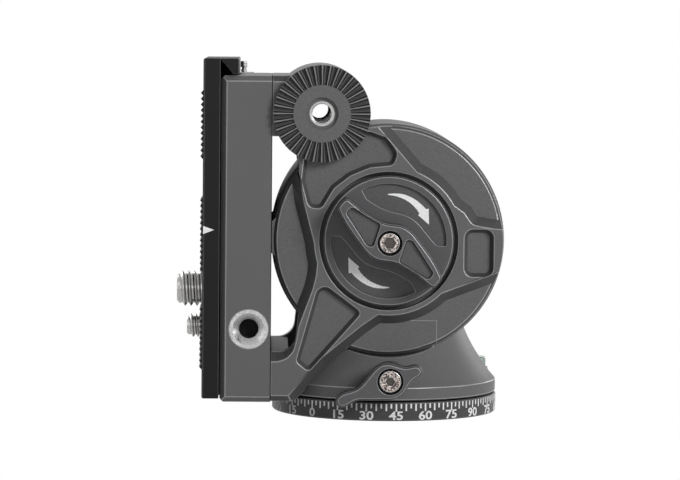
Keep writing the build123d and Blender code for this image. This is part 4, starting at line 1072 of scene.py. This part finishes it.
@dataclass(frozen=True)
class SocketScrew:
    """A screw head whose socket is painted dark as shadow."""

    node: str
    body: Body
    axis: tuple[float, float]
    socket_radius: float
    head_face: float

    def inside(self, face: bpy.types.MeshPolygon) -> bool:
        """Tell whether a face lies in the socket, which takes painted shadow."""
        middle = face.center
        reach = math.hypot(middle.x - self.axis[0], middle.z - self.axis[1])
        return reach < self.socket_radius and middle.y > self.head_face + 0.05 * MM

    def build(self, palette: Palette) -> None:
        """Round and dress the screw."""
        refined(self.node, [palette.glitter, palette.thread, palette.socket], self.body, 0.12 * MM, self.inside)


@dataclass
class PlateClamp:
    """Clamp that holds the camera plate, with its jaw and lever."""

    palette: Palette
    edge: float = 0.18 * MM
    seam: float = -30.55 * MM
    bore: tuple[float, float] = (-36.35 * MM, 23.35 * MM)
    bore_radius: float = 5.3 * MM

    def sunk(self, face: bpy.types.MeshPolygon) -> bool:
        """Tell whether a face lies in the seam to the side plates or deep in the threaded bore, where shadow is
        painted.
        """
        middle = face.center
        in_seam = abs(middle.x - self.seam) < 0.2 * MM and abs(face.normal.y) < 0.97
        reach = math.hypot(middle.x - self.bore[0], middle.z - self.bore[1])
        return in_seam or (reach < self.bore_radius and -24.5 * MM < middle.y < 0.0)

    def build(self) -> None:
        """Round the clamp's castings."""
        shades = self.palette
        refined("clamp_body", [shades.gray, shades.gray_painted_highlight, shades.shadow], Body.PLATFORM, self.edge, self.sunk)
        refined("moving_jaw", [shades.gray, shades.gray_painted_highlight], Body.JAW, self.edge)
        refined("clamp_lever", [shades.knob, shades.knob_painted_highlight], Body.CAM, self.edge)


@dataclass(frozen=True)
class CameraScrew:
    """A captive camera screw with a real thread."""

    node: str
    body: Body
    height: float
    start: float
    tip: float
    cone: float
    thread: Thread

    def build(self, palette: Palette) -> bpy.types.Object:
        """Keep the solid's head and neck and wind a thread in front of them."""
        overlap = 0.2 * MM
        mesh = node_mesh(self.node)
        bmesh.ops.bisect_plane(mesh, geom=mesh.verts[:] + mesh.edges[:] + mesh.faces[:], dist=WELD / 10,
                               plane_co=(self.start + overlap, 0.0, 0.0), plane_no=(1.0, 0.0, 0.0),
                               clear_inner=True, clear_outer=False)
        bmesh.ops.holes_fill(mesh, edges=[edge for edge in mesh.edges if edge.is_boundary], sides=0)
        rod = self.thread.rod(self.start + overlap * 2 - self.tip, self.cone)
        bmesh.ops.rotate(rod, verts=rod.verts, cent=(0.0, 0.0, 0.0), matrix=Matrix.Rotation(-math.pi / 2, 3, "Y"))
        bmesh.ops.translate(rod, verts=rod.verts, vec=(self.start + overlap * 2, 0.0, self.height))
        data = bpy.data.meshes.new("rod")
        rod.to_mesh(data)
        rod.free()
        mesh.from_mesh(data)
        shade_smooth(mesh, 28.0)
        made = publish(mesh, self.node + "_threaded", [palette.thread], self.body)
        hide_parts(self.node)
        return made


@dataclass
class CameraPlate:
    """Sliding camera plate with its pointer and its two camera screws."""

    palette: Palette
    edge: float = 0.15 * MM
    side_face: float = -25.0 * MM
    proud: float = 0.03 * MM
    pointer: tuple[tuple[float, float], ...] = ((-48.4, 50.25), (-45.54, 49.23), (-48.4, 48.17))
    screws: tuple[CameraScrew, ...] = (
        CameraScrew("large_camera_screw", Body.LARGE_SCREW, 32.0 * MM, -49.15 * MM, -55.7 * MM, 0.9 * MM,
                    Thread(4.74 * MM, 3.92 * MM, 1.5875 * MM, 40)),
        CameraScrew("small_camera_screw", Body.SMALL_SCREW, 22.05 * MM, -49.15 * MM, -53.0 * MM, 0.7 * MM,
                    Thread(3.16 * MM, 2.50 * MM, 1.27 * MM, 36)))

    def build(self) -> None:
        """Round the plate, print its pointer and thread its screws."""
        refined("quick_release_plate", [self.palette.plate, self.palette.plate_painted_highlight], Body.CAMERA_PLATE, self.edge)
        mesh = bmesh.new()
        mark_slab(mesh, list(self.pointer), self.side_face, self.proud)
        publish(mesh, "plate_pointer", [self.palette.plate_ink], Body.CAMERA_PLATE)
        for screw in self.screws:
            screw.build(self.palette)


@dataclass
class Hardware:
    """Small and inner solids that keep their own mesh."""

    palette: Palette

    def build(self) -> None:
        """Dress the pieces."""
        shades = self.palette
        finishes = (
            (shades.steel, ("tripod_insert", "spindle_screws", "pan_spindle", "pan_nut", "pan_wave_washer",
                            "pan_lock_stud", "carrier_screws", "tilt_bearings", "tilt_axle", "far_axle_flange",
                            "hub_screws", "bridge_screws", "tilt_stud", "clamp_screws", "accessory_insert",
                            "jaw_guide_pins", "jaw_springs", "draw_bolt", "lever_pin", "catch_base",
                            "catch_pin", "catch_spring", "large_screw_retainer", "small_screw_retainer",
                            "brake_pins", "brake_ring")),
            (shades.machined, ("fluid_cup", "cup_lid", "fluid_rotor")),
            (shades.drum, ("mount_disc", "bearing_carrier")),
            (shades.rubber, ("grip_pads",)),
            (shades.seal, ("cartridge_seals", "brake_lining")),
            (shades.polymer, ("pan_thrust_washer", "pan_damper_ring", "pan_brake_shoe")),
            (shades.cup, ("level_cup",)),
            (shades.fluid, ("level_vial",)),
        )
        for coat, nodes in finishes:
            for node in nodes:
                dress(node, coat)
            log.info("%s dresses %d solids", coat.material.name, len(nodes))


def main() -> None:
    """Build the studio and the head's pieces in order."""
    Studio().build()
    palette = Palette()
    DegreeRing(palette).build()
    PanHousing(palette).build()
    Platform(palette).build()
    TiltKnob(palette).build()
    SocketScrew("tilt_knob_screw", Body.TILT_LOCK, (0.0, TILT_HEIGHT), 1.75 * MM, -33.2 * MM).build(palette)
    SocketScrew("pan_lock_screw", Body.PAN_LOCK, (0.4 * MM, 10.95 * MM), 1.6 * MM, -35.6 * MM).build(palette)
    PlateClamp(palette).build()
    CameraPlate(palette).build()
    Hardware(palette).build()


if __name__ == "__main__":
    main()
